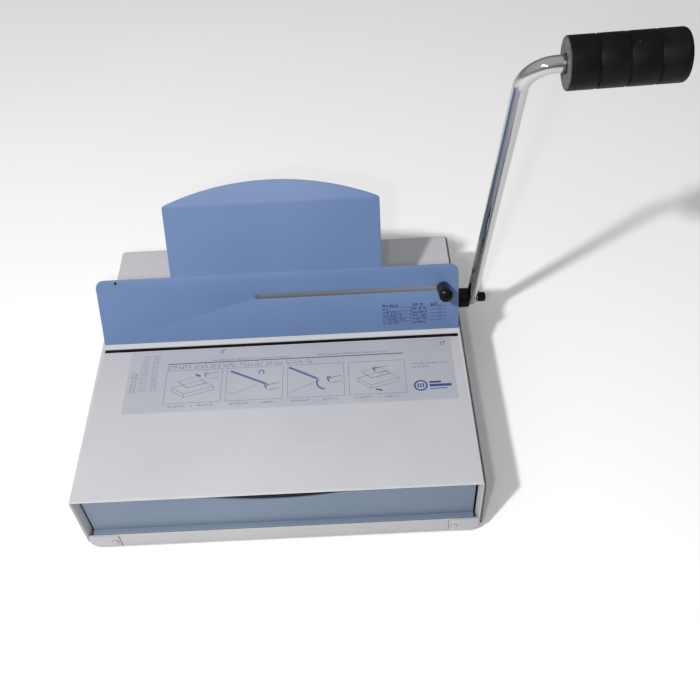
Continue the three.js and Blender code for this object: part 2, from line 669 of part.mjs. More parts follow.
function restGroup() {
  const nutFront = REST_THICKNESS + SHEET_FIT;
  const half = CLAMP_NUT_SIZE / 2;
  const nut = cut(
    block([-half, half], [nutFront, nutFront + CLAMP_NUT_THICKNESS], [-half, half]),
    bar("y", STOP_STUD_RADIUS + PUNCH_CLEARANCE, 0, 3 * CLAMP_NUT_THICKNESS, [0, 0, 0], 16),
  );
  const stop = group(
    [STOP_POST_X, 0, REST_SLOT_HEIGHT],
    [0, 0, 0],
    mesh("stop_post", stopPost(), BLACK_PLASTIC),
    mesh("stop_clamp_nut", nut, STEEL),
  );
  const seat = BODY_HEIGHT + SHEET_FIT;
  const rest = group(
    [0, REST_FOOT_Y, seat],
    [-REST_TILT, 0, 0],
    mesh("sheet_rest", sheetRest(), BLUE_PAINT),
    stop,
  );
  const screwSeat = seat + REST_THICKNESS + SHEET_FIT;
  const screws = REST_SCREWS.map(([name, x]) =>
    group([x, REST_SCREW_Y, screwSeat], [0, 0, 0], mesh(`rest_screw_${name}`, screw(), STEEL)),
  );
  return group([0, 0, 0], [0, 0, 0], rest, ...screws);
}

// ---- Side frames, die and guide ------------------------------------------------------------

const FRAME_FRONT_Y = DIE_FRONT_Y - FRAME_LEAD;
const FRAME_BACK_Y = SHAFT_Y + FRAME_REACH;
const FRAME_BOTTOM = SHEET + SHEET_FIT;
const FRAME_TOP = DIE_TOP;
const DIE_BOLT_INSET = SPACER_WIDTH / 2;
const DIE_BOLT_HEIGHTS = [
  ["lower", PUNCH_Z - DIE_BOLT_BELOW],
  ["upper", PUNCH_Z + DIE_BOLT_ABOVE],
];

// The height of the tray's floor at a distance X from the middle, up its rounded corner.
function trayFloorAt(x) {
  const bendStart = TRAY_OUTER_X - BOTTOM_BEND;
  const radius = BOTTOM_BEND - SHEET;
  const past = Math.max(0, x - bendStart);
  return BOTTOM_BEND - Math.sqrt(radius * radius - past * past);
}

// The stop pins' places around the shaft: one for the raised lever, one for the lowered lever.
const STOP_GAP = Math.asin((STOP_LUG_WIDTH / 2 + STOP_PIN_RADIUS + SHEET_FIT) / STOP_RADIUS);
const STOP_PINS = [
  ["stop_pin_raised", STOP_LUG_ANGLE + STOP_GAP],
  ["stop_pin_lowered", STOP_LUG_ANGLE - LEVER_TRAVEL - STOP_GAP],
].map(([name, angle]) => ({
  name,
  y: SHAFT_Y - STOP_RADIUS * Math.cos(angle),
  z: SHAFT_Z + STOP_RADIUS * Math.sin(angle),
}));
const TIE_BAR_Y = FRAME_BACK_Y - TIE_BAR_INSET;
const TIE_BAR_Z = (SHAFT_Z + FRAME_BOTTOM) / 3; // low, clear of the stop collar's lug

function sideFrame(side) {
  const wall = span(side, FRAME_INNER_X, FRAME_INNER_X + FRAME_THICKNESS);
  const flange = span(side, FRAME_INNER_X - FRAME_FLANGE, FRAME_INNER_X + 1);
  const [from, to] = [wall[0] - 1, wall[1] + 1];
  const wallBottom = trayFloorAt(FRAME_INNER_X + FRAME_THICKNESS) + SHEET_FIT;
  const body = join(
    block(wall, [FRAME_FRONT_Y, FRAME_BACK_Y], [wallBottom, FRAME_TOP]),
    block(flange, [FRAME_FRONT_Y, FRAME_BACK_Y], [FRAME_BOTTOM, FRAME_BOTTOM + FRAME_THICKNESS]),
  );
  const bushHole = SHAFT_RADIUS + RUNNING_CLEARANCE + BUSH_WALL + SHEET_FIT;
  const tieHole = TIE_BAR_RADIUS + SHEET_FIT;
  const holes = [
    ...footHeadRoom(FRAME_BOTTOM - 1, FRAME_BOTTOM + FRAME_THICKNESS + 1),
    bar("x", bushHole, from, to, [0, SHAFT_Y, SHAFT_Z], 24),
    bar("x", tieHole, from, to, [0, TIE_BAR_Y, TIE_BAR_Z], 16),
  ];
  if (side > 0) {
    const pinHole = STOP_PIN_RADIUS + SHEET_FIT;
    holes.push(...STOP_PINS.map(({ y, z }) => bar("x", pinHole, from, to, [0, y, z], 16)));
  }
  return cut(body, ...holes);
}

const PUNCH_XS = Array.from(
  { length: PUNCH_COUNT },
  (_, index) => (index - (PUNCH_COUNT - 1) / 2) * PUNCH_PITCH,
);

// A box at each punch's place, wider than the punch by the clearance on every side.
const punchBoxes = (clearance, y) =>
  PUNCH_XS.map((x) => {
    const halfLength = PUNCH_LENGTH_X / 2 + clearance;
    const halfHeight = PUNCH_HEIGHT / 2 + clearance;
    return block([x - halfLength, x + halfLength], y, [PUNCH_Z - halfHeight, PUNCH_Z + halfHeight]);
  });

const dieBoltHoles = (y0, y1) =>
  SIDES.flatMap(([, side]) =>
    DIE_BOLT_HEIGHTS.map(([, z]) => {
      const centre = [side * (DIE_HALF_WIDTH - DIE_BOLT_INSET), 0, z];
      return bar("y", DIE_BOLT_RADIUS + SHEET_FIT, y0, y1, centre, 12);
    }),
  );

function diePlate() {
  return cut(
    block([-DIE_HALF_WIDTH, DIE_HALF_WIDTH], [DIE_FRONT_Y, DIE_BACK_Y], [DIE_BOTTOM, DIE_TOP]),
    ...punchBoxes(PUNCH_CLEARANCE, [DIE_FRONT_Y - 1, DIE_BACK_Y + 1]),
    ...dieBoltHoles(DIE_FRONT_Y - 1, DIE_BACK_Y + 1),
  );
}

function guidePlate() {
  const through = [GUIDE_FRONT_Y - 1, GUIDE_BACK_Y + 1];
  return cut(
    block([-DIE_HALF_WIDTH, DIE_HALF_WIDTH], [GUIDE_FRONT_Y, GUIDE_BACK_Y], [DIE_BOTTOM, DIE_TOP]),
    ...punchBoxes(PUNCH_CLEARANCE, through),
    ...dieBoltHoles(...through),
    ...SIDES.map(([, side]) =>
      bar("y", GUIDE_ROD_RADIUS + SHEET_FIT, ...through, [side * GUIDE_ROD_X, 0, PUNCH_Z], 24),
    ),
  );
}

function frameGroup() {
  const parts = [
    mesh("die_plate", diePlate(), STEEL),
    mesh("guide_plate", guidePlate(), STEEL),
  ];
  const throat = [DIE_BACK_Y + SHEET_FIT / 3, GUIDE_FRONT_Y - SHEET_FIT / 3];
  const spacerInner = DIE_HALF_WIDTH - SPACER_WIDTH;
  const stopHalf = spacerInner - SHEET_FIT;
  const stopBar = block([-stopHalf, stopHalf], throat, [STOP_BAR_TOP - STOP_BAR_HEIGHT, STOP_BAR_TOP]);
  parts.push(mesh("edge_stop_bar", stopBar, DARK_STEEL));
  for (const [name, side] of SIDES) {
    parts.push(mesh(`side_frame_${name}`, sideFrame(side), DARK_STEEL));
    const spacer = cut(
      block(span(side, spacerInner, DIE_HALF_WIDTH), throat, [DIE_BOTTOM, DIE_TOP]),
      ...dieBoltHoles(throat[0] - 1, throat[1] + 1),
    );
    parts.push(mesh(`throat_spacer_${name}`, spacer, STEEL));
    for (const [level, z] of DIE_BOLT_HEIGHTS) {
      parts.push(dieBolt(`die_bolt_${name}_${level}`, side * (DIE_HALF_WIDTH - DIE_BOLT_INSET), z));
    }
    parts.push(mesh(`shaft_bush_${name}`, shaftBush(side), BRASS));
    const rodEnds = [GUIDE_FRONT_Y + 1, PRESS_BACK_Y + GUIDE_ROD_OVERHANG];
    const rod = bar("y", GUIDE_ROD_RADIUS, ...rodEnds, [side * GUIDE_ROD_X, 0, PUNCH_Z], 24);
    parts.push(mesh(`guide_rod_${name}`, rod, STEEL));
    parts.push(mesh(`return_spring_${name}`, returnSpring(side), STEEL));
  }
  const reach = FRAME_INNER_X + FRAME_THICKNESS;
  const tie = bar("x", TIE_BAR_RADIUS, -reach, reach, [0, TIE_BAR_Y, TIE_BAR_Z], 16);
  parts.push(mesh("tie_bar", tie, STEEL));
  for (const { name, y, z } of STOP_PINS) {
    const pin = bar("x", STOP_PIN_RADIUS, STOP_X - STOP_THICKNESS / 2, reach, [0, y, z], 16);
    parts.push(mesh(name, pin, STEEL));
  }
  return group([0, 0, 0], [0, 0, 0], ...parts);
}

// A bolt through the guide plate, a spacer and the die plate, with its head at the back.
function dieBolt(name, x, z) {
  const length = GUIDE_THICKNESS + SLIT_WIDTH + DIE_THICKNESS - 1;
  const profile = [
    [0, -length],
    [DIE_BOLT_RADIUS, -length],
    [DIE_BOLT_RADIUS, SHEET_FIT],
    [2 * DIE_BOLT_RADIUS, SHEET_FIT],
    [2 * DIE_BOLT_RADIUS, SHEET_FIT + DIE_BOLT_HEAD],
    [0, SHEET_FIT + DIE_BOLT_HEAD],
  ];
  const points = profile.map(([px, py]) => new THREE.Vector2(px, py));
  const body = new THREE.LatheGeometry(points, 12);
  return group([x, GUIDE_BACK_Y, z], [0, 0, 0], mesh(name, body, DARK_STEEL));
}

function shaftBush(side) {
  const bore = SHAFT_RADIUS + RUNNING_CLEARANCE;
  const outer = bore + BUSH_WALL;
  const flangeEnd = FRAME_INNER_X - SHEET_FIT;
  const start = flangeEnd - BUSH_FLANGE;
  const ring = cut(
    join(
      bar("x", outer + BUSH_FLANGE, start, flangeEnd, [0, 0, 0], 24),
      bar("x", outer, start, start + BUSH_LENGTH, [0, 0, 0], 24),
    ),
    bar("x", bore, start - 1, start + BUSH_LENGTH + 1, [0, 0, 0], 24),
  );
  if (side < 0) ring.rotateZ(Math.PI);
  return ring.translate(0, SHAFT_Y, SHAFT_Z);
}

// The outer form of a return spring on its guide rod.
function returnSpring(side) {
  const from = GUIDE_BACK_Y + SHEET_FIT;
  const to = PRESS_FRONT_Y - SHEET_FIT;
  const centre = [side * GUIDE_ROD_X, 0, PUNCH_Z];
  return cut(
    bar("y", SPRING_OUTER_RADIUS, from, to, centre, 24),
    bar("y", SPRING_OUTER_RADIUS - SPRING_WIRE, from - 1, to + 1, centre, 24),
  );
}

// ---- Press bar with its punches ------------------------------------------------------------

function pressGroup() {
  const half = FRAME_INNER_X - PRESS_BAR_END_GAP;
  const height = [PUNCH_Z - PRESS_BAR_HEIGHT / 2, PUNCH_Z + PRESS_BAR_HEIGHT / 2];
  const padHalf = CAM_THICKNESS / 2 + CAM_PAD_MARGIN;
  const pads = SIDES.map(([, side]) =>
    block(span(side, CAM_X - padHalf, CAM_X + padHalf), [PRESS_BACK_Y - 1, PAD_BACK_Y], height),
  );
  const pressBar = cut(
    join(block([-half, half], [PRESS_FRONT_Y, PRESS_BACK_Y], height), ...pads),
    ...SIDES.map(([, side]) => {
      const centre = [side * GUIDE_ROD_X, 0, PUNCH_Z];
      const hole = GUIDE_ROD_RADIUS + RUNNING_CLEARANCE;
      return bar("y", hole, PRESS_FRONT_Y - 1, PRESS_BACK_Y + 1, centre, 24);
    }),
  );
  const holderBack = PRESS_FRONT_Y - SHEET_FIT;
  const holderFront = holderBack - HOLDER_THICKNESS;
  const tips = GUIDE_FRONT_Y + PUNCH_SETBACK;
  const holder = block(
    [-HOLDER_HALF, HOLDER_HALF],
    [holderFront, holderBack],
    [PUNCH_Z - HOLDER_HEIGHT / 2, PUNCH_Z + HOLDER_HEIGHT / 2],
  );
  const punches = punchBoxes(0, [tips, holderFront + 1]);
  return group(
    [0, 0, 0],
    [0, 0, 0],
    mesh("press_bar", pressBar, DARK_STEEL),
    mesh("punch_set", join(holder, ...punches), STEEL),
  );
}

// ---- Lever, shaft and cams -----------------------------------------------------------------

// The cam's outline in Y and Z about the shaft. The distance from the shaft to the flat pad that
// it pushes grows evenly with the angle: a line at distance p from the centre, turned by psi,
// touches the outline where it is p along its normal and dp/dpsi along itself.
function camOutline() {
  const margin = 12 * DEG;
  const steps = 18;
  const points = [];
  for (let index = 0; index <= steps; index++) {
    const angle = -margin + ((LEVER_TRAVEL + 2 * margin) * index) / steps;
    const distance = CAM_REACH + CAM_RISE_PER_RADIAN * angle;
    const [normalY, normalZ] = [-Math.cos(angle), Math.sin(angle)];
    const [alongY, alongZ] = [Math.sin(angle), Math.cos(angle)];
    points.push([
      distance * normalY + CAM_RISE_PER_RADIAN * alongY,
      distance * normalZ + CAM_RISE_PER_RADIAN * alongZ,
    ]);
  }
  const backSteps = 10;
  for (let index = 0; index <= backSteps; index++) {
    const angle = (150 + (160 * index) / backSteps) * DEG;
    points.push([-CAM_HUB_RADIUS * Math.cos(angle), CAM_HUB_RADIUS * Math.sin(angle)]);
  }
  return new THREE.Shape(points.map(([y, z]) => new THREE.Vector2(y, z)));
}

function cam(side) {
  const [from, to] = span(side, CAM_X - CAM_THICKNESS / 2, CAM_X + CAM_THICKNESS / 2);
  const bore = SHAFT_RADIUS + RUNNING_CLEARANCE;
  return cut(
    sheet("x", camOutline(), from, to),
    bar("x", bore, from - 1, to + 1, [0, 0, 0], 24),
  );
}

// A collar on the shaft with a lug that meets the stop pins.
function stopCollar() {
  const half = STOP_LUG_WIDTH / 2;
  const [from, to] = [STOP_X - STOP_THICKNESS / 2, STOP_X + STOP_THICKNESS / 2];
  const lug = block([from, to], [-half, half], [0, STOP_RADIUS + STOP_PIN_RADIUS + 1]);
  return cut(
    join(
      bar("x", SHAFT_RADIUS + COLLAR_WALL, from, to, [0, 0, 0], 24),
      lug.rotateX(Math.PI / 2 - STOP_LUG_ANGLE),
    ),
    bar("x", SHAFT_RADIUS + RUNNING_CLEARANCE, from - 1, to + 1, [0, 0, 0], 24),
  );
}

const HUB_INNER_X = HALF_WIDTH + HUB_GAP;
const HUB_OUTER_X = ROD_INNER_X + HUB_SEAT;
const SHAFT_NECK_RADIUS = SHAFT_RADIUS - SHAFT_SHOULDER;
const SHAFT_LEFT_X = -(FRAME_INNER_X + BUSH_LENGTH - BUSH_FLANGE + SHAFT_LEFT_END);
const RING_X = SHAFT_LEFT_X + RING_SETBACK;

function mainShaft() {
  const neckEnd = ROD_INNER_X - SHEET_FIT;
  const studEnd = ROD_OUTER_X + STUD_LENGTH;
  return turnedAlongX([
    [SHAFT_LEFT_X, 0],
    [SHAFT_LEFT_X, SHAFT_RADIUS],
    [HALF_WIDTH, SHAFT_RADIUS],
    [HALF_WIDTH, SHAFT_NECK_RADIUS],
    [neckEnd, SHAFT_NECK_RADIUS],
    [neckEnd, STUD_RADIUS],
    [studEnd, STUD_RADIUS],
    [studEnd, 0],
  ]);
}

// Local frame of the rod: Z along the rod, X along the shaft, the origin on the shaft's axis.
function leverRod() {
  const turn = Math.PI / 2 - SPINDLE_RISE;
  const setback = ROD_BEND * Math.tan(turn / 2);
  const bendStart = ROD_LENGTH - setback;
  const spindle = new THREE.Vector3(Math.cos(SPINDLE_RISE), 0, Math.sin(SPINDLE_RISE));
  const corner = new THREE.Vector3(ROD_X, 0, ROD_LENGTH);
  const bend = new THREE.Curve();
  const overlap = 0.02;
  bend.getPoint = (t, target = new THREE.Vector3()) => {
    const angle = -overlap + t * (turn + 2 * overlap);
    const x = ROD_X + ROD_BEND * (1 - Math.cos(angle));
    return target.set(x, 0, bendStart + ROD_BEND * Math.sin(angle));
  };
  const ring = new THREE.Shape();
  ring.absarc(0, 0, ROD_RADIUS, 0, 2 * Math.PI);
  const sides = 16;
  const elbow = new THREE.ExtrudeGeometry(ring, {
    extrudePath: bend,
    steps: 8,
    curveSegments: sides,
    bevelEnabled: false,
  });
  const spindleLength = GRIP_END - GRIP_CAP_LENGTH - setback;
  const middle = setback + spindleLength / 2;
  const spindleBar = new THREE.CylinderGeometry(ROD_RADIUS, ROD_RADIUS, spindleLength, sides)
    .applyMatrix4(AXIS_TURN.x)
    .rotateY(-SPINDLE_RISE)
    .translate(corner.x + spindle.x * middle, 0, corner.z + spindle.z * middle);
  const shank = bar("z", ROD_RADIUS, -ROD_TAIL, bendStart, [ROD_X, 0, 0], sides);
  const end = new THREE.SphereGeometry(ROD_RADIUS, sides, 8)
    .rotateX(Math.PI / 2)
    .translate(ROD_X, 0, -ROD_TAIL);
  const studHole = STUD_RADIUS + RUNNING_CLEARANCE;
  return cut(
    join(shank, end, elbow, spindleBar),
    bar("x", studHole, ROD_INNER_X - 2, ROD_OUTER_X + 2, [0, 0, 0], 24),
  );
}

function leverHub() {
  return cut(
    turnedAlongX([
      [HUB_INNER_X, 0],
      [HUB_INNER_X, HUB_RADIUS],
      [HUB_OUTER_X - 1, HUB_RADIUS],
      [HUB_OUTER_X, HUB_RADIUS - 1],
      [HUB_OUTER_X, 0],
    ]),
    bar("x", SHAFT_NECK_RADIUS + RUNNING_CLEARANCE, HUB_INNER_X - 1, HUB_OUTER_X + 1, [0, 0, 0], 24),
    bar("z", ROD_RADIUS + SHEET_FIT, -2 * HUB_RADIUS, 2 * HUB_RADIUS, [ROD_X, 0, 0], 24),
  );
}

function capNut() {
  const start = ROD_OUTER_X + SHEET_FIT;
  const end = start + CAP_LENGTH;
  return cut(
    turnedAlongX(
      [
        [start, 0],
        [start, CAP_RADIUS],
        [end - 1.2, CAP_RADIUS],
        [end, CAP_RADIUS - 1.2],
        [end, 0],
      ],
      24,
    ),
    bar("x", STUD_RADIUS + RUNNING_CLEARANCE, start - 1, start + STUD_LENGTH, [0, 0, 0], 24),
  );
}

// Local frame of the grip: X along the spindle, from the meeting point of rod and spindle.
function gripSleeve() {
  const profile = [
    [GRIP_START, 0],
    [GRIP_START, GRIP_RADIUS - 1],
    [GRIP_START + 1, GRIP_RADIUS],
  ];
  const pitch = GRIP_LENGTH / (GRIP_GROOVES + 1);
  for (let groove = 1; groove <= GRIP_GROOVES; groove++) {
    const middle = GRIP_START + groove * pitch;
    profile.push(
      [middle - GROOVE_WIDTH / 2, GRIP_RADIUS],
      [middle - GROOVE_WIDTH / 4, GRIP_RADIUS - GROOVE_DEPTH],
      [middle + GROOVE_WIDTH / 4, GRIP_RADIUS - GROOVE_DEPTH],
      [middle + GROOVE_WIDTH / 2, GRIP_RADIUS],
    );
  }
  const arcSteps = 4;
  for (let index = 0; index <= arcSteps; index++) {
    const angle = (index / arcSteps) * (Math.PI / 2);
    profile.push([
      GRIP_END - GRIP_EDGE + GRIP_EDGE * Math.sin(angle),
      GRIP_RADIUS - GRIP_EDGE + GRIP_EDGE * Math.cos(angle),
    ]);
  }
  profile.push([GRIP_END, 0]);
  const bore = ROD_RADIUS + SHEET_FIT;
  const pocket = GRIP_END - GRIP_CAP_LENGTH - GRIP_NUT_LENGTH - 1;
  return cut(
    turnedAlongX(profile, 28),
    bar("x", bore, GRIP_START - 1, GRIP_END + 1, [0, 0, 0], 24),
    bar("x", GRIP_NUT_RADIUS + GRIP_POCKET_ROOM, pocket, GRIP_END + 1, [0, 0, 0], 24),
  );
}

function gripGroup() {
  const nutEnd = GRIP_END - GRIP_CAP_LENGTH;
  const nutStart = nutEnd - GRIP_NUT_LENGTH;
  const nut = cut(
    bar("x", GRIP_NUT_RADIUS, nutStart, nutEnd, [0, 0, 0], 6),
    bar("x", ROD_RADIUS + SHEET_FIT, nutStart - 1, nutEnd + 1, [0, 0, 0], 24),
  );
  const capRadius = GRIP_NUT_RADIUS + GRIP_POCKET_ROOM - RUNNING_CLEARANCE;
  const cap = turnedAlongX([
    [nutEnd + SHEET_FIT, 0],
    [nutEnd + SHEET_FIT, capRadius],
    [GRIP_END - 0.6, capRadius],
    [GRIP_END, capRadius - 1],
    [GRIP_END, 0],
  ]);
  return group(
    [ROD_X, 0, ROD_LENGTH],
    [0, -SPINDLE_RISE, 0],
    mesh("grip_sleeve", gripSleeve(), BLACK_PLASTIC),
    mesh("grip_end_cap", cap, BLACK_PLASTIC),
    mesh("grip_nut", nut, STEEL),
  );
}

function leverGroup() {
  const ring = cut(
    bar("x", SHAFT_RADIUS + COLLAR_WALL, RING_X, RING_X + RING_THICKNESS, [0, 0, 0], 24),
    bar("x", SHAFT_RADIUS + RUNNING_CLEARANCE, RING_X - 1, RING_X + 3, [0, 0, 0], 24),
  );
  const leaning = group(
    [0, 0, 0],
    [LEVER_LEAN, 0, 0],
    mesh("lever_hub", leverHub(), BLACK_PLASTIC),
    mesh("lever_rod", leverRod(), CHROME),
    mesh("cap_nut", capNut(), BLACK_PLASTIC),
    gripGroup(),
  );
  return group(
    [0, SHAFT_Y, SHAFT_Z],
    [0, 0, 0],
    mesh("main_shaft", mainShaft(), STEEL),
    mesh("press_cam_left", cam(-1), DARK_STEEL),
    mesh("press_cam_right", cam(1), DARK_STEEL),
    mesh("stop_collar", stopCollar(), DARK_STEEL),
    mesh("shaft_ring", ring, STEEL),
    leaning,
  );
}

// ---- Waste drawer --------------------------------------------------------------------------

function drawerFront() {
  const half = DRAWER_FRONT_HALF;
  const recess = RECESS_WIDTH / 2;
  const radius = (recess * recess + RECESS_DEPTH * RECESS_DEPTH) / (2 * RECESS_DEPTH);
  const sweep = Math.asin(recess / radius);
  const centre = DRAWER_TOP - RECESS_DEPTH + radius;
  const outline = new THREE.Shape();
  outline.moveTo(-half, DRAWER_BOTTOM);
  outline.lineTo(half, DRAWER_BOTTOM);
  outline.lineTo(half, DRAWER_TOP);
  outline.lineTo(recess, DRAWER_TOP);
  outline.absarc(0, centre, radius, 1.5 * Math.PI + sweep, 1.5 * Math.PI - sweep, true);
  outline.lineTo(-half, DRAWER_TOP);
  const back = DRAWER_FRONT_Y + DRAWER_FRONT_THICKNESS;
  const ledge = block(
    [-half, half],
    [DRAWER_FRONT_Y - DRAWER_LEDGE, DRAWER_FRONT_Y + 1],
    [DRAWER_BOTTOM, DRAWER_BOTTOM + DRAWER_WALL],
  );
  return join(sheet("y", outline, DRAWER_FRONT_Y, back, { curveSegments: 24 }), ledge);
}

function drawerTray() {
  const half = DRAWER_HALF;
  const front = DRAWER_FRONT_Y + DRAWER_FRONT_THICKNESS + SHEET_FIT;
  const top = DRAWER_TOP - DRAWER_SIDE_DROP;
  const inner = half - DRAWER_WALL;
  const backTop = DRAWER_BOTTOM + DRAWER_BACK_HEIGHT;
  return cut(
    block([-half, half], [front, DRAWER_BACK_Y], [DRAWER_BOTTOM, top]),
    block(
      [-inner, inner],
      [front + DRAWER_WALL, DRAWER_BACK_Y - DRAWER_WALL],
      [DRAWER_BOTTOM + DRAWER_WALL, top + 1],
    ),
    block([-inner, inner], [DRAWER_BACK_Y - DRAWER_WALL - 1, DRAWER_BACK_Y + 1], [backTop, top + 1]),
  );
}

function drawerGroup() {
  const floor = trayFloorAt(DRAWER_HALF) + SHEET_FIT;
  const runners = SIDES.map(([name, side]) => {
    const rail = block(
      span(side, DRAWER_HALF - RUNNER_WIDTH, DRAWER_HALF),
      [DRAWER_FRONT_Y + DRAWER_FRONT_THICKNESS, DRAWER_BACK_Y],
      [floor, DRAWER_BOTTOM - SHEET_FIT],
    );
    const made = cut(rail, ...footHeadRoom(floor - 1, 2 * SHEET + FOOT_HEIGHT));
    return mesh(`drawer_runner_${name}`, made, DARK_STEEL);
  });
  return group(
    [0, 0, 0],
    [0, 0, 0],
    mesh("drawer_front", drawerFront(), DRAWER_BLUE),
    mesh("drawer_tray", drawerTray(), DRAWER_BLUE),
    ...runners,
  );
}

// ---- The whole punch -----------------------------------------------------------------------

const punchMachine = group(
  [0, 0, 0],
  [0, 0, 0],
  caseGroup(),
  restGroup(),
  frameGroup(),
  pressGroup(),
  leverGroup(),
  drawerGroup(),
);
export default punchMachine;
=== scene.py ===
"""The looks of a desk punch for plastic comb binding: painted sheet-steel case, sloping sheet rest with
a side stop, waste drawer, chromed lever with a turning grip, and the punching set inside.

Metres, in the frame of the CAD model: +X to the lever, +Y to the back, +Z up.
"""

import math

import bmesh
import bpy
import numpy as np
from mathutils import Matrix, Vector
from mathutils.geometry import tessellate_polygon


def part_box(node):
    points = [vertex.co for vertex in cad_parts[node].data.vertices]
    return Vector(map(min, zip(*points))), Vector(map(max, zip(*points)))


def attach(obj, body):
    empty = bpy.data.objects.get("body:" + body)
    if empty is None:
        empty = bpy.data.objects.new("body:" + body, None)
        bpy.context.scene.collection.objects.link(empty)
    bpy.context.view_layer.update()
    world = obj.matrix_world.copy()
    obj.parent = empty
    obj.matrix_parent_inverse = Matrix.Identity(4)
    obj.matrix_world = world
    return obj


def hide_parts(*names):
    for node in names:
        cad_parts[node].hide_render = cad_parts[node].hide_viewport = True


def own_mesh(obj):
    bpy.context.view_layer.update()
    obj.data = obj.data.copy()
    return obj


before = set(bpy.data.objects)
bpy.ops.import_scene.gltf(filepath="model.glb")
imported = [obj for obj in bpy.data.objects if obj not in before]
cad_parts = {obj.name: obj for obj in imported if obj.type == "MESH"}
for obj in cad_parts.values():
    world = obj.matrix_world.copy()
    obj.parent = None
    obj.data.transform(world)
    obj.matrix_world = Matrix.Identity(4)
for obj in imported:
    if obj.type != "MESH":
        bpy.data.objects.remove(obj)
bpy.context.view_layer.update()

# ---- Sizes that the frame doesn't state --------------------------------------------------------

MM = 0.001
DEG = math.pi / 180
SHEET = 1.2 * MM  # painted sheet steel
TOP_BEND = 2.5 * MM  # the cover's top edges
REAR_CORNER = 4 * MM
BOTTOM_BEND = 10 * MM  # the tray's lower edges
HEM_WIDTH = 3.5 * MM
HEM_DEPTH = 8 * MM
LIP_HEIGHT = 19.5 * MM
LIP_SETBACK = 0.6 * MM
TAB_WIDTH = 27 * MM
TAB_TOP_DROP = 0.8 * MM
REAR_FLANGE_HEIGHT = 24 * MM
SLIT_END_MARGIN = 4.5 * MM
SLIT_CORNER = 0.6 * MM
SHEET_EDGE = 0.45 * MM  # how round a pressed sheet's edges are
SMALL_CORNER = 0.8 * MM
PLATE_GAP = 1.5 * MM  # between the lip or flange and the tray's outside
PLATE_LIFT = 0.15 * MM
TAB_GAP = 0.9 * MM
PRINT_HEIGHT = 0.015 * MM
GRIME_HEIGHT = 0.02 * MM
SCREW_HEAD = 1.8 * MM
SCREW_SHANK = 1.8 * MM
SCREW_LENGTH = 5 * MM
REST_TILT = 26.8 * DEG
REST_THICKNESS = 1.5 * MM
WING_HEIGHT = 64.7 * MM
WING_CORNER = 8 * MM
CREST_HALF = 100 * MM
CREST_RISE = 20 * MM
CREST_HEIGHT = 152 * MM
CREST_CORNER = 4 * MM
REST_SLOT_START = -22 * MM
REST_SLOT_MARGIN = 11 * MM
REST_SLOT_HEIGHT = 41.4 * MM
REST_SLOT_RADIUS = 2.2 * MM
REST_FLANGE_DEPTH = 22 * MM
RECESS_HALF = 91 * MM
RECESS_DEPTH = 15.5 * MM
LEVER_LEAN = 18.9 * DEG
SPINDLE_RISE = 2 * DEG
ROD_RADIUS = 6 * MM
ROD_LENGTH = 350 * MM  # shaft to the meeting point of rod and spindle
ROD_TAIL = 4 * MM
ROD_BEND = 22 * MM
GRIP_START = 26.5 * MM
GRIP_LENGTH = 80.5 * MM
GRIP_GROOVES = 3
GRIP_CAP_LENGTH = 7 * MM

X_AXIS = np.array([1.0, 0.0, 0.0])
Y_AXIS = np.array([0.0, 1.0, 0.0])
Z_AXIS = np.array([0.0, 0.0, 1.0])


def low(node):
    """The lowest corner of a CAD node."""
    return np.array(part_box(node)[0])


def high(node):
    """The highest corner of a CAD node."""
    return np.array(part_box(node)[1])


def middle(node):
    """The middle of a CAD node's box."""
    return (low(node) + high(node)) / 2


# ---- Surfaces ----------------------------------------------------------------------------------


class Place:
    """A local frame: a point is the origin plus u, v and w along three directions."""

    def __init__(self, origin, u, v, w):
        self.origin = np.array(origin, float)
        self.axes = np.array([u, v, w], float)

    def at(self, u, v, w):
        u, v, w = np.broadcast_arrays(u, v, w)
        return self.origin + np.stack([u, v, w], -1) @ self.axes

    def moved(self, u=0.0, v=0.0, w=0.0):
        return Place(self.at(u, v, w), *self.axes)


def arc(cx, cy, radius, start, end, steps=10):
    """Points on a circle: the centre plus the radius times cosine and sine of evenly spaced angles."""
    angle = np.linspace(start, end, steps + 1)
    return np.stack([cx + radius * np.cos(angle), cy + radius * np.sin(angle)], -1)


def rounded(corners, steps=8, closed=True):
    """An outline from corners (x, y, radius). A corner with a radius becomes an arc that touches both of
    its sides, whose centre lies on the bisector at radius over the cosine of half the turn."""
    points = np.array([corner[:2] for corner in corners], float)
    pieces = []
    for index, (x, y, radius) in enumerate(corners):
        inner = closed or 0 < index < len(corners) - 1
        if radius == 0 or not inner:
            pieces.append(np.array([[x, y]]))
            continue
        here = points[index]
        before = here - points[index - 1]
        after = points[(index + 1) % len(points)] - here
        before /= np.linalg.norm(before)
        after /= np.linalg.norm(after)
        turn = math.atan2(before[0] * after[1] - before[1] * after[0], before @ after)
        side = math.copysign(1, turn)
        start = here - before * radius * math.tan(abs(turn) / 2)
        centre = start + side * radius * np.array([-before[1], before[0]])
        first = math.atan2(*(start - centre)[::-1])
        pieces.append(arc(*centre, radius, first, first + turn, steps))
    return np.concatenate(pieces)


def rectangle(left, low_edge, right, high_edge, *radii, steps=8):
    """A rectangle's outline from its first corner round, with one radius for all corners or one for each."""
    radii *= 4 // len(radii)
    corners = zip((left, right, right, left), (low_edge, low_edge, high_edge, high_edge), radii)
    return rounded(list(corners), steps)


def inset(loop, amount, closed=True):
    """A loop moved to its left by an amount. A point moves along the sum of its two sides' normals over
    one plus their dot product, which keeps both sides parallel."""
    side = np.roll(loop, -1, 0) - loop
    side /= np.maximum(np.linalg.norm(side, axis=1, keepdims=True), 1e-12)
    normal = np.stack([-side[:, 1], side[:, 0]], -1)
    before = np.roll(normal, 1, 0)
    if not closed:
        normal[-1] = normal[-2]
        before[0] = normal[0]
    mitre = (before + normal) / (1 + np.sum(before * normal, 1, keepdims=True))
    return loop + amount * mitre


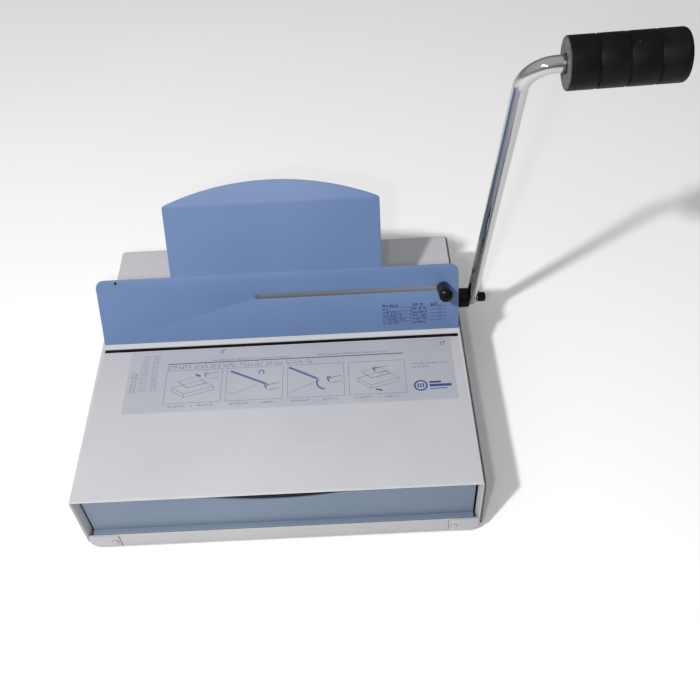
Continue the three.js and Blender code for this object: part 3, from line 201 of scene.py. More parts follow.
def quads(rows, columns, first=0, wrap_rows=False, wrap_columns=True):
    """The quads of a grid of rows times columns points, numbered row by row from first."""
    row = np.arange(rows if wrap_rows else rows - 1)[:, None]
    column = np.arange(columns if wrap_columns else columns - 1)[None, :]
    below, above = row * columns, ((row + 1) % rows) * columns
    right = (column + 1) % columns
    corners = [below + column, below + right, above + right, above + column]
    return first + np.stack(corners, -1).reshape(-1, 4)


def piece(name, points, faces, finish, body, *replaced, slot=None, sharp=32 * DEG):
    """Makes a closed surface an object that rides on a body. Equal points are merged, faces turned
    outwards, and edges sharper than an angle stay crisp."""
    mesh = bpy.data.meshes.new(name)
    mesh.from_pydata(np.asarray(points).reshape(-1, 3).tolist(), [], [list(map(int, f)) for f in faces])
    work = bmesh.new()
    work.from_mesh(mesh)
    bmesh.ops.remove_doubles(work, verts=work.verts, dist=1e-7)
    bmesh.ops.dissolve_degenerate(work, edges=work.edges, dist=1e-8)
    bmesh.ops.recalc_face_normals(work, faces=work.faces)
    work.to_mesh(mesh)
    work.free()
    mesh.shade_smooth()
    mesh.set_sharp_from_angle(angle=sharp)
    mesh.materials.append(finish)
    made = bpy.data.objects.new(name, mesh)
    bpy.context.scene.collection.objects.link(made)
    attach(made, body)
    if replaced:
        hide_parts(*replaced)
    return made


def edge_section(thickness, edge, steps=3):
    """(inset, depth) over a sheet's edge: a quarter circle at the front and one at the back."""
    angle = np.linspace(0, math.pi / 2, steps + 1)
    front = np.stack([edge * (1 - np.sin(angle)), edge * (1 - np.cos(angle))], -1)
    back = np.stack([edge * (1 - np.cos(angle)), thickness - edge * (1 - np.sin(angle))], -1)
    return np.concatenate([front, back])


def plate_surface(loops, thickness, edge, place):
    """A flat plate with eased edges: each outline is carried through the edge section, and the two faces
    are filled between the outer outline (anticlockwise) and the holes (clockwise)."""
    points, faces, first = [], [], 0
    section = edge_section(thickness, edge)
    ends = []
    for loop in loops:
        rings = np.stack([place.at(*inset(loop, step).T, depth) for step, depth in section])
        points.append(rings.reshape(-1, 3))
        faces.extend(quads(len(section), len(loop), first))
        last = first + (len(section) - 1) * len(loop)
        ends.append((first, last, inset(loop, edge)))
        first += len(section) * len(loop)
    flat = [[Vector((x, y, 0)) for x, y in loop] for _, _, loop in ends]
    for which in (0, 1):
        number = np.concatenate([end[which] + np.arange(len(end[2])) for end in ends])
        faces.extend(number[list(triangle)] for triangle in tessellate_polygon(flat))
    return np.concatenate(points), faces


def plate(name, loops, thickness, edge, place, finish, body, *replaced, **options):
    """A flat plate as an object."""
    points, faces = plate_surface(loops, thickness, edge, place)
    return piece(name, points, faces, finish, body, *replaced, **options)


def turned(name, profile, place, finish, body, *replaced, sides=64, loop=False, **options):
    """A turned part: each profile point (w, radius) becomes a circle about the w direction. A profile
    that is a loop gives a ring-shaped part."""
    profile = np.asarray(profile, float)
    angle = np.linspace(0, 2 * math.pi, sides, endpoint=False)
    along, radius = profile[:, :1], profile[:, 1:]
    rings = place.at(radius * np.cos(angle), radius * np.sin(angle), along + 0 * angle)
    faces = list(quads(len(profile), sides, wrap_rows=loop))
    if not loop:
        last = (len(profile) - 1) * sides
        if profile[0, 1] > 0:
            faces.append(np.arange(sides))
        if profile[-1, 1] > 0:
            faces.append(last + np.arange(sides))
    return piece(name, rings, faces, finish, body, *replaced, **options)


def carried(name, section, path, finish, body, *replaced, **options):
    """A closed section (inset from the path, y) carried along a path in X and Z."""
    rows = []
    for step, y in section:
        moved = inset(path, step, closed=False)
        rows.append(np.stack([moved[:, 0], np.full(len(path), y), moved[:, 1]], -1))
    rows = np.stack(rows)
    count, length = rows.shape[:2]
    faces = list(quads(count, length, wrap_rows=True, wrap_columns=False))
    faces.append(np.arange(count) * length)
    faces.append(np.arange(count) * length + length - 1)
    return piece(name, rows, faces, finish, body, *replaced, **options)


def tube(points, across, binormal, radii, sides=40):
    """Rings of a round rod: at each path point a circle in the plane of two unit vectors."""
    angle = np.linspace(0, 2 * math.pi, sides, endpoint=False)
    ring = across[:, None, :] * np.cos(angle)[None, :, None]
    ring = ring + binormal[:, None, :] * np.sin(angle)[None, :, None]
    return points[:, None, :] + ring * np.asarray(radii)[:, None, None]


def bars(strokes, height, place):
    """Flat printed strokes: each row (u0, v0, u1, v1, width) becomes a low box along its line."""
    strokes = np.asarray(strokes, float)
    start, end, width = strokes[:, 0:2], strokes[:, 2:4], strokes[:, 4:5]
    along = end - start
    along /= np.maximum(np.linalg.norm(along, axis=1, keepdims=True), 1e-9)
    aside = np.stack([-along[:, 1], along[:, 0]], -1) * width / 2
    corners = np.stack([start - aside, end - aside, end + aside, start + aside], 1)
    levels = [place.at(corners[..., 0], corners[..., 1], level) for level in (0.0, height)]
    points = np.stack(levels, 1).reshape(-1, 3)
    box = np.array([[0, 3, 2, 1], [4, 5, 6, 7], [0, 1, 5, 4], [1, 2, 6, 5], [2, 3, 7, 6], [3, 0, 4, 7]])
    return points, (box[None] + 8 * np.arange(len(strokes))[:, None, None]).reshape(-1, 4)


# ---- Finishes ----------------------------------------------------------------------------------


class Value:
    """A number that varies over a surface. Sums and products of it add Math nodes."""

    def __init__(self, finish, socket):
        self.finish = finish
        self.socket = socket

    def math(self, operation, first, second):
        sockets = {0: first, 1: second}
        return self.finish.add("ShaderNodeMath", 0, {"operation": operation}, sockets)

    def __add__(self, other):
        return self.math("ADD", self, other)

    def __radd__(self, other):
        return self.math("ADD", other, self)

    def __sub__(self, other):
        return self.math("SUBTRACT", self, other)

    def __rsub__(self, other):
        return self.math("SUBTRACT", other, self)

    def __mul__(self, other):
        return self.math("MULTIPLY", self, other)

    def __rmul__(self, other):
        return self.math("MULTIPLY", other, self)

    def ramp(self, start, end):
        """0 before start and 1 after end, with a smooth rise between them. It falls if end < start."""
        settings = {"interpolation_type": "SMOOTHSTEP"}
        if end < start:
            return 1 - self.ramp(end, start)
        sockets = {"Value": self, "From Min": start, "From Max": end}
        return self.finish.add("ShaderNodeMapRange", "Result", settings, sockets)


class Finish:
    """A material with a Principled surface and the nodes that vary it."""

    def __init__(self, name, **constants):
        self.material = bpy.data.materials.new(name)
        self.material.use_nodes = True
        self.tree = self.material.node_tree
        self.surface = self.tree.nodes["Principled BSDF"]
        self.place = self.add("ShaderNodeTexCoord", "Object")
        for key, value in constants.items():
            self.surface.inputs[key.replace("_", " ").title().replace("Ior", "IOR")].default_value = value

    def put(self, socket, value):
        if isinstance(value, Value):
            self.tree.links.new(value.socket, socket)
        elif hasattr(socket.default_value, "__len__") and hasattr(value, "__len__"):
            socket.default_value = [*value, 1.0][: len(socket.default_value)]
        else:
            socket.default_value = value

    def add(self, kind, output, settings=None, sockets=None):
        """Adds a node: its settings first, then the values or links of its sockets."""
        node = self.tree.nodes.new(kind)
        for key, value in (settings or {}).items():
            setattr(node, key, value)
        for key, value in (sockets or {}).items():
            self.put(node.inputs[key], value)
        return Value(self, node.outputs[output])

    def noise(self, scale, detail=2.0, roughness=0.5, stretch=None):
        """Smooth noise about as fine as 1 / scale metres, drawn out along an axis by a stretch."""
        place = self.place
        if stretch:
            place = self.add("ShaderNodeMapping", "Vector", None, {"Vector": place, "Scale": stretch})
        sockets = {"Vector": place, "Scale": scale, "Detail": detail, "Roughness": roughness}
        return self.add("ShaderNodeTexNoise", "Fac", None, sockets)

    def specks(self, spacing, size, share):
        """Round specks in some cells of a Voronoi pattern. The share of the cells is from 0 to 1."""
        sockets = {"Vector": self.place, "Scale": 1 / spacing}
        settings = {"feature": "F1"}
        near = self.add("ShaderNodeTexVoronoi", "Distance", settings, sockets)
        colour = self.add("ShaderNodeTexVoronoi", "Color", settings, sockets)
        chance = self.add("ShaderNodeSeparateColor", "Red", None, {"Color": colour})
        grain = self.add("ShaderNodeSeparateColor", "Green", None, {"Color": colour})
        return near.ramp(size / spacing, 0.4 * size / spacing) * chance.ramp(share, share * 0.9) * grain

    def along(self, origin, direction):
        """The distance from an origin along a direction."""
        minus = {"operation": "SUBTRACT"}
        shifted = self.add("ShaderNodeVectorMath", "Vector", minus, {0: self.place, 1: tuple(origin)})
        dot = {"operation": "DOT_PRODUCT"}
        return self.add("ShaderNodeVectorMath", "Value", dot, {0: shifted, 1: tuple(direction)})

    def mix(self, factor, first, second):
        """A colour between two colours."""
        settings = {"data_type": "RGBA", "clamp_factor": True}
        return self.add("ShaderNodeMix", 2, settings, {0: factor, 6: first, 7: second})

    def drive(self, **sockets):
        """Links what varies to the surface's own sockets."""
        for key, value in sockets.items():
            self.put(self.surface.inputs[key.replace("_", " ").title()], value)

    def relief(self, height, distance, strength=1.0):
        """A bump whose height runs from 0 to 1 over a distance in metres."""
        sockets = {"Height": height, "Distance": distance, "Strength": strength}
        self.put(self.surface.inputs["Normal"], self.add("ShaderNodeBump", "Normal", None, sockets))


def linear(red, green, blue):
    """A display colour of 0 to 255 as linear light."""
    share = np.array([red, green, blue]) / 255
    return tuple(np.where(share <= 0.04045, share / 12.92, ((share + 0.055) / 1.055) ** 2.4))


def painted(name, colour, shade, dust, gloss=0.42, worn_edge=None, painted_shade_line=None):
    """Powder coat: a faint orange peel, cloudy tone, handling marks, a few chips and fine dust; where given,
    a painted shade line.
    """
    finish = Finish(name, specular_ior_level=0.42)
    cloud = finish.noise(7, 3)
    blotch = finish.noise(42, 4, 0.6)
    tone = finish.mix(cloud.ramp(0.3, 0.72), colour, shade)
    lines = finish.noise(650, 1, 0.5, (0.05, 1.0, 1.0)).ramp(0.66, 0.74)
    marks = lines * finish.noise(11, 3, 0.6).ramp(0.5, 0.62)
    tone = finish.mix(marks * 0.3, tone, dust)
    tone = finish.mix(blotch.ramp(0.56, 0.74) * 0.22, tone, shade)
    stains = finish.specks(26 * MM, 1.1 * MM, 0.4)
    tone = finish.mix(stains * 0.8, tone, tuple(0.35 * c for c in shade))
    if worn_edge:
        origin, direction, width = worn_edge
        ragged = finish.along(origin, direction) + (blotch - 0.5) * (1.6 * width)
        tone = finish.mix(ragged.ramp(width, 0.2 * width) * 0.5, tone, dust)
    # Where given, a near-black band along the lever-side top bend: painted shade for the side turned away
    # from the light.
    if painted_shade_line:
        corner, width, depth = painted_shade_line
        beside = finish.along(corner, (1, 0, 0)).ramp(-width, -0.6 * width)
        below = finish.along(corner, (0, 0, 1)).ramp(-depth, -0.8 * depth)
        tone = finish.mix(beside * below * (0.75 + 0.25 * cloud), tone, (0.02, 0.02, 0.022))
    finish.drive(base_color=tone, roughness=gloss + cloud * 0.1 + marks * 0.15)
    finish.relief(finish.noise(900, 2, 0.4), 0.03 * MM, 0.35)
    return finish.material


def plastic(name, colour, gloss, dust=None):
    """Moulded black plastic: fine grain, slight bleaching, and dust on one end where it is given."""
    finish = Finish(name, specular_ior_level=0.12)
    cloud = finish.noise(60, 3)
    tone = finish.mix(cloud.ramp(0.35, 0.75) * 0.6, colour, tuple(1.8 * c + 0.003 for c in colour))
    fluff = finish.specks(7 * MM, 0.7 * MM, 0.35)
    tone = finish.mix(fluff * 0.5, tone, (0.11, 0.11, 0.11))
    if dust:
        origin, direction, reach, tint = dust
        near = finish.along(origin, direction).ramp(reach, -0.4 * reach)
        grime = near * (0.55 + 0.45 * finish.noise(260, 4, 0.7).ramp(0.35, 0.6))
        tone = finish.mix(grime, tone, tint)
    finish.drive(base_color=tone, roughness=gloss + cloud * 0.14 + fluff * 0.2)
    finish.relief(finish.noise(1500, 2, 0.5), 0.03 * MM, 0.35)
    return finish.material


def ground_metal(name, colour, shade, roughness, stretch, oil=0.0):
    """Machined steel or brass: fine lines along the cut, cloudy tarnish and a few stains."""
    finish = Finish(name, metallic=1.0)
    lines = finish.noise(1400, 2, 0.6, stretch)
    tarnish = finish.noise(55, 4, 0.6)
    tone = finish.mix(tarnish.ramp(0.4, 0.75), colour, shade)
    spots = finish.specks(9 * MM, 1.2 * MM, 0.3)
    tone = finish.mix(spots * 0.6, tone, tuple(0.4 * c for c in shade))
    finish.drive(base_color=tone, roughness=roughness + lines * 0.14 + tarnish * 0.1 - oil)
    finish.relief(lines, 0.02 * MM, 0.5)
    return finish.material


def chromed(name):
    """Bright plate: hair-fine scratches, smears that dull it, and pits with a trace of rust."""
    finish = Finish(name, metallic=1.0)
    smear = finish.noise(90, 3, 0.5, (1.0, 1.0, 0.25)).ramp(0.5, 0.75)
    hair = finish.noise(2600, 1, 0.5, (1.0, 1.0, 0.03))
    pits = finish.specks(5 * MM, 0.5 * MM, 0.3)
    tone = finish.mix(smear * 0.3, (0.52, 0.525, 0.54), (0.4, 0.405, 0.415))
    tone = finish.mix(pits * 0.7, tone, (0.2, 0.13, 0.08))
    finish.drive(base_color=tone, roughness=0.07 + smear * 0.12 + pits * 0.3)
    finish.relief(hair, 0.004 * MM, 0.3)
    return finish.material


def laminated(name, colour, shade):
    """Printed foil: slight mottling, rubbed gloss and faint creases."""
    finish = Finish(name, specular_ior_level=0.5)
    cloud = finish.noise(16, 4, 0.55)
    tone = finish.mix(cloud.ramp(0.32, 0.7), colour, shade)
    rubbed = finish.noise(60, 3, 0.6, (0.3, 1.0, 1.0)).ramp(0.5, 0.72)
    tone = finish.mix(rubbed * 0.15, tone, tuple(1.2 * c for c in colour))
    finish.drive(base_color=tone, roughness=0.36 + cloud * 0.16 + rubbed * 0.1)
    finish.relief(finish.noise(240, 3), 0.02 * MM, 0.4)
    return finish.material


def ink(name, colour, fade):
    """Printing ink that has rubbed thin in places; the same flat colour also makes seam grime and a painted
    shade strip.
    """
    finish = Finish(name, specular_ior_level=0.4)
    worn = finish.noise(420, 3, 0.6).ramp(0.42, 0.7)
    finish.drive(base_color=finish.mix(worn * 0.5, colour, fade), roughness=0.42 + worn * 0.12)
    return finish.material


COVER_LOW, COVER_HIGH = low("top_cover"), high("top_cover")
FRONT_EDGE = ((0, COVER_LOW[1], 0), (0, 1, 0), 2.2 * MM)
# Corner, width and depth of the painted shade along the cover's lever-side edge.
LEVER_SIDE_SHADE = ((COVER_HIGH[0], 0, COVER_HIGH[2]), 2.8 * MM, 3.2 * MM)
GREY = painted("grey_powder_coat", linear(184, 184, 188), linear(177, 178, 183), linear(197, 197, 197),
               worn_edge=FRONT_EDGE, painted_shade_line=LEVER_SIDE_SHADE)
TRAY_GREY = painted("tray_powder_coat", linear(170, 170, 173), linear(163, 164, 168), linear(182, 182, 181))
GRIME = ink("seam_grime", linear(92, 90, 88), linear(138, 136, 134))
# Near-black colour of the painted shade strip on the cover's right front edge.
EDGE_SHADE_INK = ink("painted_edge_shade", linear(30, 30, 31), linear(70, 69, 68))
BLUE = painted("blue_powder_coat", linear(89, 113, 152), linear(83, 106, 145), linear(101, 122, 157), 0.4)
DRAWER_BLUE = painted("drawer_blue_coat", linear(104, 118, 137), linear(97, 111, 131), linear(119, 131, 147))
LABEL = laminated("label_foil", linear(163, 166, 173), linear(157, 160, 169))
LABEL_INK = ink("label_ink", linear(108, 111, 126), linear(134, 137, 149))
ACCENT_INK = ink("accent_ink", linear(74, 92, 134), linear(104, 118, 150))
DARK_INK = ink("header_ink", linear(62, 66, 92), linear(98, 102, 124))
MARK_INK = ink("mark_ink", linear(34, 58, 124), linear(70, 92, 146))
REST_INK = ink("rest_ink", linear(28, 38, 70), linear(56, 74, 116))
BLACK = plastic("black_plastic", (0.0035, 0.0035, 0.0045), 0.16)
RUBBER = plastic("foot_rubber", (0.01, 0.01, 0.01), 0.62)
CHROME = chromed("chrome_plate")
STEEL = ground_metal("ground_steel", (0.5, 0.51, 0.53), (0.4, 0.4, 0.42), 0.24, (0.05, 1.0, 1.0))
DARK_STEEL = ground_metal("oiled_steel", (0.17, 0.175, 0.185), (0.1, 0.1, 0.105), 0.32, (1, 1, 0.08), 0.06)
# The drawer tray is coloured near black: painted shade for its inside, which shows dark through the finger
# recess.
DRAWER_INSIDE_SHADE = painted("drawer_inside_painted_shade", linear(34, 37, 42), linear(26, 29, 34), linear(60, 62, 66), 0.6)
BRASS = ground_metal("turned_brass", (0.62, 0.44, 0.18), (0.45, 0.31, 0.13), 0.2, (0.1, 1.0, 1.0))

# ---- Case --------------------------------------------------------------------------------------

HALF_WIDTH, FRONT_Y, REAR_Y, DECK_Z = COVER_HIGH[0], COVER_LOW[1], COVER_HIGH[1], COVER_HIGH[2]
SLIT_FRONT, SLIT_BACK = high("die_plate")[1], low("guide_plate")[1]


def between(outline, hole, first):
    """Triangles between an outline and a hole in it, whose points are numbered from two firsts."""
    loops = (outline, hole)
    flat = [[Vector((x, y, 0)) for x, y in loop] for loop in loops]
    number = np.concatenate([start + np.arange(len(loop)) for start, loop in zip(first, loops)])
    return [number[list(triangle)] for triangle in tessellate_polygon(flat)]


def printed(name, parts, finish, place, slot, height=PRINT_HEIGHT):
    """Rows of flat strokes, given in millimetres, as one piece of the case."""
    strokes = MM * np.concatenate([np.asarray(part, float) for part in parts])
    points, faces = bars(strokes, height, place)
    piece(name, points, faces, finish, "housing", slot=slot)


def top_cover():
    """The cover: a section through its skirt and top bend is carried round the right, rear and left
    sides. Two flat faces with the slit cut out close it, and its front edge is cut straight."""
    path = rounded(
        [(HALF_WIDTH, FRONT_Y, 0), (HALF_WIDTH, REAR_Y, REAR_CORNER),
         (-HALF_WIDTH, REAR_Y, REAR_CORNER), (-HALF_WIDTH, FRONT_Y, 0)],
        closed=False,
    )
    angle = np.linspace(0, math.pi / 2, 9)
    ease, bottom, under = 0.3 * MM, COVER_LOW[2], DECK_Z - SHEET
    outer = np.stack([TOP_BEND * (1 - np.sin(angle)), DECK_Z - TOP_BEND * (1 - np.cos(angle))], -1)
    foot = [(0, bottom + ease), (ease, bottom), (SHEET - ease, bottom), (SHEET, bottom + ease)]
    bend = TOP_BEND - SHEET
    inner = np.stack([TOP_BEND - bend * np.sin(angle), DECK_Z - TOP_BEND + bend * np.cos(angle)], -1)
    section = np.concatenate([outer, foot, inner[::-1]])
    rows = []
    for step, height in section:
        moved = inset(path, step, closed=False)
        rows.append(np.column_stack([moved, np.full(len(path), height)]))
    count, length = len(section), len(path)
    faces = list(quads(count, length, wrap_columns=False))
    faces.append(np.arange(count) * length)
    faces.append(np.arange(count) * length + length - 1)
    last = (count - 1) * length
    faces.append([0, length - 1, last + length - 1, last])
    slit_half = HALF_WIDTH - SLIT_END_MARGIN
    slit = rectangle(slit_half, SLIT_FRONT, -slit_half, SLIT_BACK, SLIT_CORNER, steps=4)
    soft, softer = 0.1 * MM, 0.35 * MM
    walls = [(softer, DECK_Z), (soft, DECK_Z - soft), (0, DECK_Z - softer), (0, under)]
    first = count * length
    for step, height in walls:
        rows.append(np.column_stack([inset(slit, step), np.full(len(slit), height)]))
    faces.extend(quads(len(walls), len(slit), first))
    lower = first + (len(walls) - 1) * len(slit)
    faces.extend(between(rows[0][:, :2], rows[count][:, :2], (0, first)))
    faces.extend(between(rows[count - 1][:, :2], slit, (last, lower)))
    piece("case_cover", np.concatenate(rows), faces, GREY, "housing", "top_cover", slot="grey_paint")
    # A near-black strip on the front edge of the right skirt: painted shade for the cut edge, which is turned
    # away from the light.
    seam = HALF_WIDTH - SHEET / 2
    strokes = np.array([[seam, bottom + MM, seam, DECK_Z - TOP_BEND, SHEET]]) / MM
    face = Place((0, FRONT_Y, 0), X_AXIS, Z_AXIS, -Y_AXIS)
    printed("cover_edge_painted_shade", [strokes], EDGE_SHADE_INK, face, "grey_paint", GRIME_HEIGHT)


def upright(y):
    """A frame for plates that stand across the case: u is X, v is Z and w runs to the back."""
    return Place((0, y, 0), X_AXIS, Z_AXIS, Y_AXIS)


def tray():
    """The tray: a U-shaped shell, a folded edge around its mouth, the front lip with a tab at each corner
    and the rear flange."""
    half, top = high("base_tray")[0], high("base_tray")[2]
    front, rear = low("base_tray")[1], high("base_tray")[1]
    path = rounded([(-half, top, 0), (-half, 0, BOTTOM_BEND), (half, 0, BOTTOM_BEND), (half, top, 0)], 10,
                   closed=False)
    grey = {"slot": "grey_paint"}
    fold = SHEET / 2
    curve = arc(fold, front + fold, fold, 1.0 * math.pi, 1.9 * math.pi, 8)
    hem = np.concatenate([curve, [(HEM_WIDTH, front + HEM_DEPTH), (0, front + HEM_DEPTH)]])
    carried("case_tray_edge", hem, path, TRAY_GREY, "housing", **grey)
    wall = [(0, front + HEM_DEPTH), (SHEET, front + HEM_DEPTH), (SHEET, rear), (0, rear)]
    carried("case_tray", wall, path, TRAY_GREY, "housing", "base_tray", **grey)
    lip_front = front + LIP_SETBACK
    low_corner = BOTTOM_BEND - PLATE_GAP
    inner = half - PLATE_GAP
    lip = rectangle(-inner, PLATE_LIFT, inner, LIP_HEIGHT, low_corner, low_corner, SMALL_CORNER, SMALL_CORNER)
    plate("case_lip", [lip], SHEET, SHEET_EDGE, upright(lip_front), TRAY_GREY, "housing", **grey)
    tab_top, tab_corner, tab_edge, overlap = LIP_HEIGHT - TAB_TOP_DROP, 1.6 * MM, 0.3 * MM, 0.1 * MM
    for name, side in (("left", -1), ("right", 1)):
        start, end = sorted([side * (half - TAB_GAP), side * (half - TAB_WIDTH)])
        corners = (low_corner, SMALL_CORNER)[::-side]
        tab = rectangle(start, PLATE_LIFT, end, tab_top, *corners, tab_corner, tab_corner)
        plate(f"case_lip_tab_{name}", [tab], LIP_SETBACK + overlap, tab_edge, upright(front), TRAY_GREY,
              "housing", **grey)
        seam = side * (half - TAB_WIDTH - tab_edge) / MM
        over = (tab_top + tab_edge) / MM
        strokes = [
            [seam, 1.5, seam, tab_top / MM, 0.6],
            [start / MM + 4, over, end / MM - 1, over, 0.4],
            [seam - 3, 14, seam - 2.5, 14.3, 0.7],
            [seam - 4.2, 10, seam - 3.9, 10.4, 0.6],
        ]
        face = Place((0, lip_front, 0), X_AXIS, Z_AXIS, -Y_AXIS)
        printed(f"lip_seam_grime_{name}", [strokes], GRIME, face, "grey_paint", GRIME_HEIGHT)
    flange = rectangle(-inner, PLATE_LIFT, inner, REAR_FLANGE_HEIGHT, low_corner, low_corner, MM, MM)
    plate("case_rear_flange", [flange], SHEET, SHEET_EDGE, upright(rear - SHEET), TRAY_GREY, "housing",
          **grey)


def screw(node, across, up, out):
    """A pan-head screw, seated in the outer face of its CAD node: a turned form whose dome sinks where
    either cross arm's half width is greater than the distance from its middle line, inside two thirds of
    the head."""
    half = (high(node) - low(node)) / 2
    radius = float(abs(across) @ half)
    place = Place(middle(node) + out * (abs(out) @ half - SCREW_HEAD), across, up, out)
    dome = np.linspace(0, math.pi / 2, 12)
    head = np.stack([SCREW_HEAD * (0.45 + 0.55 * np.cos(dome)), radius * np.sin(dome)], -1)
    side = [(0.08 * SCREW_HEAD, radius), (0, radius - 0.15 * MM), (0, SCREW_SHANK),
            (-SCREW_LENGTH, SCREW_SHANK), (-SCREW_LENGTH, 0)]
    profile = np.concatenate([head, side])
    sides = 64
    angle = np.linspace(0, 2 * math.pi, sides, endpoint=False)
    u = profile[:, 1:] * np.cos(angle)
    v = profile[:, 1:] * np.sin(angle)
    w = profile[:, :1] + 0 * angle
    arm, reach, sink = 0.16 * radius, 0.66 * radius, 0.7 * SCREW_HEAD
    inside = np.clip((arm - np.minimum(abs(u), abs(v))) / (0.4 * arm) + 0.5, 0, 1)
    inside *= np.clip((reach - np.hypot(u, v)) / (0.1 * radius) + 0.5, 0, 1)
    w[: len(dome)] -= sink * inside[: len(dome)]
    piece(f"pan_{node}", place.at(u, v, w), quads(len(profile), sides), STEEL, "housing", node, slot="steel")


def rivet(node):
    """A rivet: a low dome, a quarter of its height on a straight rim, and the dirt round it."""
    radius = (high(node) - low(node))[0] / 2
    rim, rise, shank = 0.25 * MM, 0.75 * MM, 1.8 * MM
    dome = np.linspace(0, math.pi / 2, 8)
    head = np.stack([rim + rise * np.cos(dome), radius * np.sin(dome)], -1)
    profile = np.concatenate([head, [(0, radius), (0, shank), (-shank, shank), (-shank, 0)]])
    seat = Place((middle(node)[0], FRONT_Y, middle(node)[2]), X_AXIS, Z_AXIS, -Y_AXIS)
    turned(f"dome_{node}", profile, seat, TRAY_GREY, "housing", node, slot="grey_paint", sides=40)
    top, bottom, spread = 0.06 * MM, -0.2 * MM, radius + 0.5 * MM
    ring = [(top, 0), (top, spread), (bottom, spread), (bottom, 0)]
    turned(f"grime_{node}", ring, seat, GRIME, "housing", slot="grey_paint", sides=40)


def foot(node):
    """A rubber foot: a turned pad with a round lower edge and a hollow, pushed through the tray by a
    neck and held by a head inside."""
    lowest, highest, centre = low(node), high(node), middle(node)
    radius, height = (highest[0] - lowest[0]) / 2, -lowest[2]
    place = Place((centre[0], centre[1], lowest[2]), X_AXIS, Y_AXIS, Z_AXIS)
    edge, neck, catch, total = 1.2 * MM, 3 * MM, 1.6 * MM, highest[2] + height
    hollow = [(0.6 * MM, 0), (0.6 * MM, 3.2 * MM), (0, 4.2 * MM)]
    rim = arc(edge, radius - edge, edge, math.pi, math.pi / 2, 6)
    shoulder = [(height - 0.4 * MM, radius - MM), (height - 0.1 * MM, radius - 1.8 * MM)]
    stem = [(height - 0.1 * MM, neck), (total - catch, neck)]
    head = [(total - catch, 4.6 * MM), (total, neck), (total, 0)]
    profile = np.concatenate([hollow, rim, shoulder, stem, head])
    turned(f"rubber_{node}", profile, place, RUBBER, "housing", node, slot="rubber")


def case_hardware():
    """Feet, screws and rivets."""
    for corner in ("front_left", "front_right", "rear_left", "rear_right"):
        foot(f"foot_{corner}")
    for name, out in (("left", -X_AXIS), ("right", X_AXIS)):
        screw(f"cover_screw_{name}_front", Y_AXIS, Z_AXIS, out)
        screw(f"cover_screw_{name}_rear", Y_AXIS, Z_AXIS, out)
        screw(f"rear_screw_{name}", X_AXIS, Z_AXIS, Y_AXIS)
        rivet(f"lip_rivet_{name}")
    for name in ("left", "middle", "right"):
        screw(f"rest_screw_{name}", X_AXIS, Y_AXIS, Z_AXIS)


# ---- Printed label -----------------------------------------------------------------------------

RANDOM = np.random.default_rng(7)
# Millimetres on the label, from its rear left corner. Small print is (u, v, length, height, line width).
DRAWING_WIDTH, DRAWING_HEIGHT, DRAWING_PITCH = 52.4, 39.2, 56.9
DRAWINGS_LEFT, DRAWINGS_TOP = 36.8, -25.4
HEADING_RULE = -16.9
FINE, THIN, BOLD = 0.35, 0.45, 0.7
CAPTIONS = ((4, 18), (26, 2), (32, 15))
NOTES_ABOVE = ((78, -15.3, 76, 1.6, THIN), (179, -14.4, 68, 1.6, THIN))
NOTES_BESIDE = ((266, -31.6, 34, 1.7, THIN), (266, -35.8, 17, 1.7, THIN))
MARK_U, MARK_V = 273, -57.4


def words(u, v, length, height, weight, turned_round=False):
    """Rows of ticks that stand for print and form no letters: each cell gets three or four of five short
    ticks that never meet."""
    ticks = height * np.array([(0, 0.62, 0.1, 1), (0.42, 0, 0.52, 0.4), (0.14, 0.5, 0.46, 0.54),
                               (0, 0.1, 0.26, 0.04), (0.28, 0.88, 0.52, 0.94)])
    strokes, at = [], 0.0
    cell = 0.78 * height
    while at + cell < length:
        for _ in range(int(RANDOM.integers(2, 8))):
            if at + cell > length:
                break
            chosen = RANDOM.choice(5, size=int(RANDOM.integers(3, 5)), replace=False)
            strokes.extend(ticks[chosen] + (at, 0, at, 0))
            at += cell
        at += 0.7 * cell
    lines = np.array(strokes)
    if turned_round:
        lines = np.stack([-lines[:, 1], lines[:, 0], -lines[:, 3], lines[:, 2]], -1)
    lines = lines + np.array([u, v, u, v])
    return np.column_stack([lines, np.full(len(lines), 1.25 * weight)])


def polyline(points, weight, closed=True):
    """Strokes along a line of points."""
    points = np.asarray(points, float)
    ends = np.roll(points, -1, 0)
    if not closed:
        points, ends = points[:-1], ends[:-1]
    return np.column_stack([points, ends, np.full(len(points), weight)])


def slab(u, v, width, depth, lift, slant, weight):
    """The line drawing of a flat box seen from a corner."""
    rise = 0.28 * width
    base = np.array([(0, 0), (width, rise), (width - slant, rise + depth), (-slant, depth)])
    top = base + (u, v + lift)
    sides = [np.array([*(base[i] + (u, v)), *top[i], weight]) for i in (0, 1, 3)]
    rim = polyline(base[[3, 0, 1]] + (u, v), weight, closed=False)
    return np.concatenate([polyline(top, weight), rim, np.array(sides)])


def hand(u, v, weight):
    """The line drawing of a hand that reaches in from the right: four bent fingers and a wrist."""
    fingers = [arc(u - k, v + 1.1 * k, 3.2 - 0.5 * k, 1.2, 4.0, 6) for k in range(4)]
    strokes = [polyline(finger, weight, closed=False) for finger in fingers]
    wrist = [[u + 1, v + 4, u + 9, v + 5, weight], [u, v - 3, u + 9, v - 1, weight]]
    return np.concatenate([*strokes, np.array(wrist)])


